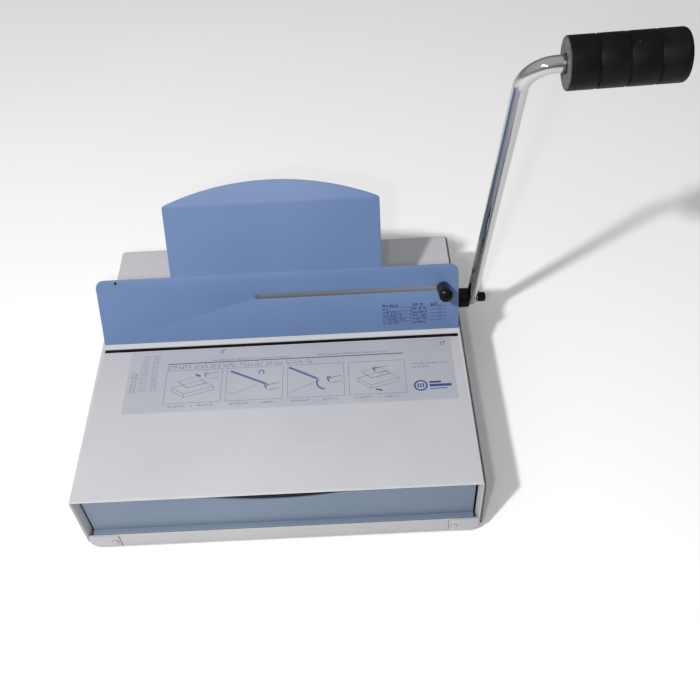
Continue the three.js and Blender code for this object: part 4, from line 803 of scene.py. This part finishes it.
def drawings():
    """The four framed drawings, each about the middle of its frame: the sheets laid in, the lever pulled,
    the holes and the comb, and the waste drawer. Gives the faint, strong and accent strokes."""
    faint, strong, accent = [], [], []
    middles = [(DRAWINGS_LEFT + i * DRAWING_PITCH + DRAWING_WIDTH / 2, DRAWINGS_TOP - DRAWING_HEIGHT / 2)
               for i in range(4)]
    u, v = middles[0]
    faint.append(slab(u - 8, v - 13, 27, 8, 4, 12, THIN))
    faint.append(slab(u - 6, v - 2, 18, 8, 0.4, 9, FINE))
    strong.append([[u + 1, v + 14, u + 6, v + 11.5, 1.6]])
    faint.append(hand(u + 14, v + 11, THIN))
    u, v = middles[1]
    accent.append([[u - 23, v + 16, u + 10, v - 1, 2.2]])
    accent.append(polyline(arc(u + 6, v + 13, 2.4, -0.9, 4.0, 10), 1.1, closed=False))
    faint.append([[u - 25, v - 9, u - 20, v - 12, THIN], [u - 20, v - 12, u + 4, v - 1, THIN]])
    faint.append(hand(u + 14, v - 6, BOLD))
    u, v = middles[2]
    accent.append([[u - 25, v + 17, u + 1, v + 2, 2.4]])
    accent.append(polyline(arc(u + 9, v - 3, 8, 2.5, 4.6, 12), 1.8, closed=False))
    faint.append([[u - 25, v - 14, u + 2, v - 1, THIN]])
    faint.append(hand(u + 15, v - 1, 0.8))
    u, v = middles[3]
    faint.append(slab(u - 6, v - 13, 26, 9, 4, 12, THIN))
    faint.append(slab(u - 5, v - 1, 17, 8, 0.4, 9, FINE))
    faint.append(hand(u + 1, v + 8, BOLD))
    strong.append([[u - 2, v - 14, u + 4, v - 16, 1.6]])
    return faint, strong, accent


def label():
    """The instruction label: a thin foil with a heading, four framed drawings, captions, small print in
    columns and a plain round mark, all without a readable word."""
    lowest, highest = low("instruction_label"), high("instruction_label")
    outline = rectangle(*lowest[:2], *highest[:2], 1.6 * MM)
    base = Place((0, 0, lowest[2]), X_AXIS, Y_AXIS, Z_AXIS)
    plate("label_foil", [outline], highest[2] - lowest[2], 0.08 * MM, base, LABEL, "housing",
          "instruction_label", slot="label")
    paper = Place((lowest[0], highest[1], highest[2]), X_AXIS, Y_AXIS, Z_AXIS)
    rule_end = DRAWINGS_LEFT + 4 * DRAWING_PITCH - 5
    heading = [[[DRAWINGS_LEFT, HEADING_RULE, rule_end, HEADING_RULE, 1.0]]]
    print_lines = [words(DRAWINGS_LEFT, DRAWINGS_TOP + 2, 139, 4.2, BOLD)]
    bottom = DRAWINGS_TOP - DRAWING_HEIGHT
    for index in range(4):
        left = DRAWINGS_LEFT + index * DRAWING_PITCH
        right = left + DRAWING_WIDTH
        corners = [(left, bottom), (right, bottom), (right, DRAWINGS_TOP), (left, DRAWINGS_TOP)]
        print_lines.append(polyline(corners, THIN))
        print_lines.extend(words(left + start, bottom - 4.4, length, 1.9, 0.5) for start, length in CAPTIONS)
    faint, strong, accent = drawings()
    print_lines.extend(faint)
    print_lines.extend(words(*row) for row in NOTES_ABOVE)
    print_lines.extend(words(u, -50, 25, 1.6, 0.5, turned_round=True) for u in (5.6, 8.8))
    for row in range(14):
        level = -7 - 3.2 * row
        print_lines.append(words(11.8, level, 7.8, 1.6, 0.3))
        print_lines.append(words(22, level, 7.2, 1.6, 0.38))
    print_lines.extend(words(*row) for row in NOTES_BESIDE)
    printed("label_print", print_lines, LABEL_INK, paper, "label")
    printed("label_heading", heading + strong, DARK_INK, paper, "label")
    printed("label_drawings", accent, ACCENT_INK, paper, "label")
    ring = polyline(arc(MARK_U, MARK_V, 5.6, 0, 2 * math.pi, 32), 1.6)
    teeth = [[MARK_U + k * 2.4, MARK_V - 2.6, MARK_U + k * 2.4, MARK_V + 2.6, 1.3] for k in (-1, 0, 1)]
    mark_bars = [[MARK_U + 8, MARK_V + v, MARK_U + end, MARK_V + v, weight]
                 for v, end, weight in ((3.4, 19, 2.2), (-0.4, 28, 3.0), (-4.2, 24, 1.0))]
    printed("label_mark", [ring, teeth, mark_bars], MARK_INK, paper, "label")
    squares = []
    for u, v in ((85.4, -5.8), (296, -8.4)):
        squares.append(polyline([(u, v), (u + 3, v), (u + 3, v + 3), (u, v + 3)], 0.5))
        squares.append([[u + 2.6, v + 2.6, u + 4.2, v + 4.6, 0.8]])
    printed("label_corner_marks", squares, DARK_INK, paper, "label")


# ---- Sheet rest and side stop ------------------------------------------------------------------

REST_HALF = high("sheet_rest")[0]
REST_UP = np.array([0, math.sin(REST_TILT), math.cos(REST_TILT)])
REST_BACK = np.array([0, math.cos(REST_TILT), -math.sin(REST_TILT)])
REST_SLOT_END = REST_HALF - REST_SLOT_MARGIN
REST = Place((0, low("sheet_rest")[1], low("sheet_rest")[2]), X_AXIS, REST_UP, REST_BACK)
# The printed table of sizes, in millimetres on the rest.
TABLE_LEFT, TABLE_TOP, TABLE_ROW, TABLE_LINE = 99, 24.6, 3.5, 0.35
TABLE_HEADS = ((0, 16), (29, 12), (46, 9))
TABLE_FIRST_COLUMN = (6, 20, 20, 24, 16)


def rest_outline():
    """Two low wings with round corners and a raised middle whose top is one shallow arc. The arc's
    radius is the half width squared plus the rise squared, over twice the rise."""
    radius = (CREST_HALF**2 + CREST_RISE**2) / (2 * CREST_RISE)
    shoulder = math.asin((CREST_HALF - CREST_CORNER) / radius)
    crown = arc(0, CREST_HEIGHT - radius, radius, math.pi / 2 - shoulder, math.pi / 2 + shoulder, 48)
    side, small, blend = CREST_HEIGHT - CREST_RISE, 1.2 * MM, 0.9 * CREST_CORNER
    right = [(-REST_HALF, 0, small), (REST_HALF, 0, small), (REST_HALF, WING_HEIGHT, WING_CORNER),
             (CREST_HALF, WING_HEIGHT, small), (CREST_HALF, side, blend)]
    left = [(-CREST_HALF, side, blend), (-CREST_HALF, WING_HEIGHT, small),
            (-REST_HALF, WING_HEIGHT, WING_CORNER)]
    return rounded([*right, *[(x, y, 0) for x, y in crown], *left])


def rest_slot():
    """The slot: two straight sides and two half circles, run clockwise."""
    first = REST_SLOT_START + REST_SLOT_RADIUS
    last = REST_SLOT_END - REST_SLOT_RADIUS
    turn = math.pi / 2
    left = arc(first, REST_SLOT_HEIGHT, REST_SLOT_RADIUS, 3 * turn, turn, 12)
    right = arc(last, REST_SLOT_HEIGHT, REST_SLOT_RADIUS, turn, -turn, 12)
    return np.concatenate([left, right])


def size_table():
    """The strokes of the printed table of sizes: heads, two columns of entries, rules and upright lines."""
    strokes = [words(TABLE_LEFT + start, TABLE_TOP, length, 2.3, 0.95) for start, length in TABLE_HEADS]
    for row, length in enumerate(TABLE_FIRST_COLUMN, 1):
        level = TABLE_TOP - row * TABLE_ROW
        strokes.append(words(TABLE_LEFT, level, length, 2.1, 0.55))
        strokes.append(words(TABLE_LEFT + 28.5, level, 15, 2.1, 0.7))
        rule = level + 2.7
        for start, end in ((5, 28), (45, 61)):
            strokes.append([[TABLE_LEFT + start, rule, TABLE_LEFT + end, rule, TABLE_LINE]])
    for shift in (4.5, 27, 55):
        line = TABLE_LEFT + shift
        strokes.append([[line, TABLE_TOP - 1, line, TABLE_TOP - 4 * TABLE_ROW, TABLE_LINE]])
    return strokes


def sheet_rest():
    """The sloping panel, its screwed-down flange and the printed table."""
    plate("rest_panel", [rest_outline(), rest_slot()], REST_THICKNESS, 0.5 * MM, REST, BLUE, "housing",
          "sheet_rest", slot="blue_paint")
    plug = arc(-0.1, 0, 1.3, math.pi, math.pi / 2, 8)
    plug = MM * np.concatenate([plug, [(0.4, 1.3), (0.4, 0)]])
    plug_place = REST.moved(-152.7 * MM, 61.6 * MM)
    turned("rest_plug", plug, plug_place, BLACK, "housing", slot="blue_paint", sides=24)
    flange = rectangle(-REST_HALF, MM, REST_HALF, REST_FLANGE_DEPTH,
                       SMALL_CORNER, SMALL_CORNER, 3 * MM, 3 * MM)
    flat = Place(REST.origin, X_AXIS, Y_AXIS, Z_AXIS)
    plate("rest_flange", [flange], REST_THICKNESS, 0.5 * MM, flat, BLUE, "housing", slot="blue_paint")
    ink_place = Place(REST.origin - 0.001 * MM * REST_BACK, X_AXIS, REST_UP, -REST_BACK)
    printed("rest_table", size_table(), REST_INK, ink_place, "blue_paint", 0.02 * MM)


def side_stop():
    """The black post of the side stop: a turned body with a domed end, a neck ring and its stud."""
    offset = (middle("stop_clamp_nut") - REST.origin) @ REST.axes.T
    seat = REST.moved(offset[0], REST_SLOT_HEIGHT, 0)
    radius, length, dome_height, stud = 6.4, 27, 2.8, 1.9
    dome = np.linspace(0, math.pi / 2, 16)
    crown = np.stack([-length + dome_height * (1 - np.cos(dome)), radius * np.sin(dome)], -1)
    body = [(-1.6, radius), (-1.3, radius - 0.35), (-0.9, radius - 0.35), (-0.6, radius - 0.05),
            (-0.3, radius - 0.3), (-0.3, stud), (6.8, stud), (7, stud - 0.3), (7, 0)]
    profile = MM * np.concatenate([crown, body])
    turned("stop_post_body", profile, seat, BLACK, "stop_knob", "stop_post", slot="black_plastic")


# ---- Lever and grip ----------------------------------------------------------------------------

SHAFT = middle("shaft_bush_right")
LEVER = Place(
    (0, SHAFT[1], SHAFT[2]),
    X_AXIS,
    (0, math.cos(LEVER_LEAN), math.sin(LEVER_LEAN)),
    (0, -math.sin(LEVER_LEAN), math.cos(LEVER_LEAN)),
)
ROD_X = low("cap_nut")[0] - 0.3 * MM - ROD_RADIUS
GRIP = Place(
    LEVER.at(ROD_X, 0, ROD_LENGTH),
    LEVER.axes[1],
    math.cos(SPINDLE_RISE) * LEVER.axes[2] - math.sin(SPINDLE_RISE) * LEVER.axes[0],
    math.cos(SPINDLE_RISE) * LEVER.axes[0] + math.sin(SPINDLE_RISE) * LEVER.axes[2],
)
GRIP_RADIUS = 18 * MM
GRIP_END = GRIP_START + GRIP_LENGTH
GRIP_BLACK = plastic("grip_plastic", (0.0022, 0.0022, 0.0034), 0.42,
                     dust=(GRIP.at(0, 0, GRIP_START), GRIP.axes[2], 1.2 * MM, (0.17, 0.155, 0.14)))


def lever_rod():
    """The bent rod: a circle carried up the straight shank, round the bend and along the spindle. Its
    lower end is a half ball: the radius is the cosine and the drop the sine of the same angle."""
    turn = math.pi / 2 - SPINDLE_RISE
    setback = ROD_BEND * math.tan(turn / 2)
    start, sides = ROD_LENGTH - setback, 48
    ball = np.linspace(math.pi / 2, 0, 9)[:-1]
    shank = np.linspace(-ROD_TAIL, start, 12)
    bend = np.linspace(0, turn, 25)[1:]
    spindle = np.linspace(0, GRIP_END - GRIP_CAP_LENGTH - setback, 6)[1:]
    angle = np.concatenate([0 * ball, 0 * shank, bend, turn + 0 * spindle])
    radii = ROD_RADIUS * np.concatenate([np.cos(ball), 1 + 0 * shank, 1 + 0 * bend, 1 + 0 * spindle])
    x = ROD_X + np.concatenate([0 * ball, 0 * shank, ROD_BEND * (1 - np.cos(bend)),
                                ROD_BEND * (1 - math.cos(turn)) + spindle * math.sin(turn)])
    z = np.concatenate([-ROD_TAIL - ROD_RADIUS * np.sin(ball), shank, start + ROD_BEND * np.sin(bend),
                        start + ROD_BEND * math.sin(turn) + spindle * math.cos(turn)])
    across = np.cos(angle)[:, None] * LEVER.axes[0] - np.sin(angle)[:, None] * LEVER.axes[2]
    aside = np.repeat(LEVER.axes[1][None], len(x), 0)
    rings = tube(LEVER.at(x, 0, z), across, aside, radii, sides)
    faces = [*quads(len(x), sides), (len(x) - 1) * sides + np.arange(sides)]
    piece("rod_plated", rings, faces, CHROME, "lever", "lever_rod", slot="chrome")


def grip():
    """The sleeve: a turned loop with three grooves and a round outer edge. A plug closes its end. Each
    list holds steps in millimetres along the axis and across it."""
    pitch = GRIP_LENGTH / (GRIP_GROOVES + 1)
    bore, pocket, edge = ROD_RADIUS + 0.3 * MM, 8.7 * MM, 3.5 * MM
    mouth = [(2, 0), (0.5, 0.6), (0, 1.6)]
    shoulder = [(0, -1.6), (0.25, -0.6), (0.8, -0.1), (1.4, 0)]
    groove = [(-1.2, 0), (-0.85, -0.12), (-0.5, -0.8), (0, -1.05), (0.5, -0.8), (0.85, -0.12), (1.2, 0)]
    cap_start = GRIP_END - GRIP_CAP_LENGTH
    pocket_end = cap_start - 5 * MM
    profile = np.concatenate([
        (GRIP_START, bore) + MM * np.array(mouth),
        (GRIP_START, GRIP_RADIUS) + MM * np.array(shoulder),
        *[(GRIP_START + k * pitch, GRIP_RADIUS) + MM * np.array(groove) for k in range(1, GRIP_GROOVES + 1)],
        arc(GRIP_END - edge, GRIP_RADIUS - edge, edge, math.pi / 2, 0, 10),
        [(GRIP_END, pocket + 0.5 * MM), (GRIP_END - 0.5 * MM, pocket), (pocket_end, pocket),
         (pocket_end, bore)],
    ])
    turned("grip_body", profile, GRIP, GRIP_BLACK, "grip", "grip_sleeve", slot="black_plastic", sides=96,
           loop=True)
    back = cap_start + 0.4 * MM
    crown = [(-0.9, -0.25), (-0.4, -0.7), (-0.15, -1.6), (-0.05, -4)]
    plug = np.concatenate([
        [(back, 0), (back, pocket - 0.25 * MM)],
        (GRIP_END, pocket) + MM * np.array(crown),
        [(GRIP_END, 0)],
    ])
    turned("grip_plug", plug, GRIP, GRIP_BLACK, "grip", "grip_end_cap", slot="black_plastic")


def hub():
    """The lever hub: a turned body whose outer face is hollowed to the rod. There its x is the rod's
    middle less the square root of the bore radius squared minus the distance aside squared."""
    start, end = low("lever_hub")[0], high("lever_hub")[0]
    radius, bore, sides = 10.2 * MM, ROD_RADIUS + 0.15 * MM, 96
    inner_edge = [(0, -0.9), (0.3, -0.3), (0.9, 0)]
    outer_edge = [(-1.3, 0), (-0.5, -0.3), (-0.1, -0.9)]
    profile = np.concatenate([
        [(start, 5.3 * MM)],
        (start, radius) + MM * np.array(inner_edge),
        (end, radius) + MM * np.array(outer_edge),
        [(end, r) for r in np.linspace(radius - 1.5 * MM, 0, 16)],
    ])
    angle = np.linspace(0, 2 * math.pi, sides, endpoint=False)
    across = profile[:, 1:] * np.cos(angle)
    up = profile[:, 1:] * np.sin(angle)
    saddle = ROD_X - np.sqrt(np.maximum(bore**2 - across**2, 0))
    x = np.where(abs(across) < bore, np.minimum(profile[:, :1] + 0 * across, saddle), profile[:, :1])
    faces = [*quads(len(profile), sides), np.arange(sides)]
    piece("hub_body", LEVER.at(x, across, up), faces, BLACK, "lever", "lever_hub", slot="black_plastic",
          sharp=40 * DEG)
    start, end = low("cap_nut")[0], high("cap_nut")[0]
    around = Place(LEVER.origin, LEVER.axes[1], LEVER.axes[2], LEVER.axes[0])
    radius, edge = 5 * MM, 1.6 * MM
    nut = np.concatenate([
        (start, radius) + MM * np.array([(-0.2, -5), (-0.2, -0.4), (0.3, 0)]),
        arc(end - edge, radius - edge, edge, math.pi / 2, 0, 8),
        [(end, 2 * MM), (end - 0.15 * MM, 0)],
    ])
    turned("cap_nut_body", nut, around, BLACK, "lever", "cap_nut", slot="black_plastic")


# ---- Waste drawer ------------------------------------------------------------------------------


def drawer():
    """The drawer's front with its finger recess, and the ledge over the lip. The recess is an arc whose
    radius is its half width squared plus its depth squared, over twice the depth."""
    (left, front, bottom), (right, back, top) = low("drawer_front"), high("drawer_front")
    thickness, top_corner = 2.6 * MM, 1.5 * MM
    face_y = back - thickness
    radius = (RECESS_HALF**2 + RECESS_DEPTH**2) / (2 * RECESS_DEPTH)
    sweep = math.asin(RECESS_HALF / radius)
    turn = math.pi / 2
    scoop = arc(0, top - RECESS_DEPTH + radius, radius, sweep - turn, -sweep - turn, 56)
    corners = [(left, bottom, MM), (right, bottom, MM), (right, top, top_corner),
               *[(x, y, 0) for x, y in scoop], (left, top, top_corner)]
    plate("drawer_face", [rounded(corners)], thickness, SMALL_CORNER, upright(face_y), DRAWER_BLUE, "drawer",
          "drawer_front", slot="drawer_blue")
    flat = Place((0, 0, bottom), X_AXIS, Y_AXIS, Z_AXIS)
    ledge = rectangle(left, front, right, face_y + MM, top_corner, top_corner, SMALL_CORNER, SMALL_CORNER)
    plate("drawer_ledge", [ledge], MM, 0.4 * MM, flat, DRAWER_BLUE, "drawer", slot="drawer_blue")


# ---- Punching set ------------------------------------------------------------------------------


def springs():
    """Return springs: a wire circle carried along a helix whose end turns lie flat. The turns fall into
    place by a smooth step of the way along."""
    sides, steps, turns, wire = 12, 220, 6.0, 0.7 * MM
    for name in ("return_spring_left", "return_spring_right"):
        lowest, highest, centre = low(name), high(name), middle(name)
        radius = (highest[0] - lowest[0]) / 2 - wire
        way = np.linspace(0, 1, steps)
        angle = 2 * math.pi * turns * way
        spread = np.clip((way * turns - 0.8) / (turns - 1.6), 0, 1)
        y = lowest[1] + wire + (highest[1] - lowest[1] - 2 * wire) * spread
        out = np.stack([np.cos(angle), 0 * angle, np.sin(angle)], -1)
        points = np.array([centre[0], 0, centre[2]]) + radius * out + y[:, None] * Y_AXIS
        ahead = np.gradient(points, axis=0)
        ahead /= np.linalg.norm(ahead, axis=1, keepdims=True)
        aside = np.cross(ahead, out)
        rings = tube(points, out, aside, np.full(steps, wire), sides)
        faces = [*quads(steps, sides), np.arange(sides), (steps - 1) * sides + np.arange(sides)]
        coil = piece(f"coil_{name}", rings, faces, STEEL, "housing", name, slot="steel")
        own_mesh(coil)


# For each finish: the slot that its CAD nodes report, and the nodes.
CAD_FINISHES = (
    (STEEL, "steel", "throat_spacer_left throat_spacer_right guide_rod_left guide_rod_right tie_bar "
     "stop_pin_raised stop_pin_lowered punch_set main_shaft shaft_ring grip_nut stop_clamp_nut"),
    (DARK_STEEL, "steel", "die_plate guide_plate"),
    (DARK_STEEL, "dark_steel", "edge_stop_bar side_frame_left side_frame_right die_bolt_left_lower "
     "die_bolt_left_upper die_bolt_right_lower die_bolt_right_upper press_bar press_cam_left "
     "press_cam_right stop_collar drawer_runner_left drawer_runner_right"),
    (BRASS, "brass", "shaft_bush_left shaft_bush_right"),
    (DRAWER_INSIDE_SHADE, "drawer_blue", "drawer_tray"),
)


def finish_cad_nodes():
    """Gives each CAD node that stays in view its finish."""
    for finish, slot_name, nodes in CAD_FINISHES:
        for node in nodes.split():
            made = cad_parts[node]
            if not made.material_slots:
                made.data.materials.append(None)
            for material_slot in made.material_slots:
                material_slot.material = finish


# ---- Stage -------------------------------------------------------------------------------------

CAMERA_PLACE = np.array([73.30, -541.89, 683.01]) * MM
CAMERA_ELEVATION, CAMERA_AZIMUTH, CAMERA_ROLL = 48.312 * DEG, -0.7847 * DEG, -3.4122 * DEG
CAMERA_LENS, CAMERA_SENSOR = 43.855, 36.0
WINDOW_DISTANCE, WINDOW_TRAVEL = 2.2, np.array([0.462, 0.68, -1.0])
LAMP_SHIFT = np.array([-0.06, -0.01, -0.03])
ROOM_BRIGHT_SIDE, ROOM_STRENGTH = (-0.42, -0.1, 0.9), 0.58


def stage():
    """A pale floor under the feet, a window at the front left, a lamp over the viewer's shoulder and a
    room that is brighter above."""
    size, level = 12.0, low("foot_front_left")[2]
    mesh = bpy.data.meshes.new("floor")
    corners = [(-size, -size, level), (size, -size, level), (size, size, level), (-size, size, level)]
    mesh.from_pydata(corners, [], [(0, 1, 2, 3)])
    floor = bpy.data.objects.new("floor", mesh)
    bpy.context.scene.collection.objects.link(floor)
    finish = Finish("floor_paint", roughness=0.9, specular_ior_level=0.1)
    finish.drive(base_color=finish.mix(finish.noise(3, 2), (0.93, 0.93, 0.935), (0.9, 0.9, 0.905)))
    mesh.materials.append(finish.material)

    target = np.array([0.0, 0.0, DECK_Z])
    travel = WINDOW_TRAVEL / np.linalg.norm(WINDOW_TRAVEL)
    lights = (
        ("window", target - WINDOW_DISTANCE * travel, 38.0, 0.1, (1.0, 0.985, 0.965)),
        ("lamp", CAMERA_PLACE + LAMP_SHIFT, 1.25, 0.03, (1.0, 1.0, 1.0)),
    )
    for name, position, power, width, colour in lights:
        data = bpy.data.lights.new(name, "AREA")
        data.energy, data.size, data.color = power, width, colour
        lamp = bpy.data.objects.new(name, data)
        lamp.location = Vector(position)
        lamp.rotation_euler = (Vector(target) - lamp.location).to_track_quat("-Z", "Y").to_euler()
        bpy.context.scene.collection.objects.link(lamp)

    world = bpy.data.worlds.new("room")
    world.use_nodes = True
    tree = world.node_tree
    background = tree.nodes["Background"]
    background.inputs["Strength"].default_value = ROOM_STRENGTH
    direction = tree.nodes.new("ShaderNodeTexCoord")
    towards = tree.nodes.new("ShaderNodeVectorMath")
    towards.operation = "DOT_PRODUCT"
    towards.inputs[1].default_value = ROOM_BRIGHT_SIDE
    ramp = tree.nodes.new("ShaderNodeValToRGB")
    ramp.color_ramp.elements[0].position = 0.0
    ramp.color_ramp.elements[0].color = (0.12, 0.12, 0.125, 1)
    ramp.color_ramp.elements[1].position = 0.75
    ramp.color_ramp.elements[1].color = (1, 1, 1, 1)
    tree.links.new(direction.outputs["Generated"], towards.inputs[0])
    tree.links.new(towards.outputs["Value"], ramp.inputs[0])
    tree.links.new(ramp.outputs["Color"], background.inputs["Color"])
    bpy.context.scene.world = world


def camera():
    """Looks down at the front of the punch from a little to the right, turned slightly in its frame."""
    elevation, azimuth, roll = CAMERA_ELEVATION, CAMERA_AZIMUTH, CAMERA_ROLL
    ahead = np.array([math.sin(azimuth) * math.cos(elevation), math.cos(azimuth) * math.cos(elevation),
                      -math.sin(elevation)])
    right = np.array([math.cos(azimuth), -math.sin(azimuth), 0.0])
    up = np.cross(right, ahead)
    across = math.cos(roll) * right + math.sin(roll) * up
    upward = -math.sin(roll) * right + math.cos(roll) * up
    data = bpy.data.cameras.new("camera")
    data.sensor_width = CAMERA_SENSOR
    data.lens = CAMERA_LENS
    data.clip_start, data.clip_end = 0.01, 50.0
    made = bpy.data.objects.new("camera", data)
    bpy.context.scene.collection.objects.link(made)
    matrix = np.eye(4)
    matrix[:3, 0], matrix[:3, 1], matrix[:3, 2] = across, upward, -ahead
    matrix[:3, 3] = CAMERA_PLACE
    made.matrix_world = Matrix(matrix.tolist())
    bpy.context.scene.camera = made
    bpy.context.scene.view_settings.view_transform = "Standard"


camera()
stage()
top_cover()
tray()
case_hardware()
label()
sheet_rest()
side_stop()
lever_rod()
grip()
hub()
drawer()
springs()
finish_cad_nodes()

bpy.context.view_layer.update()
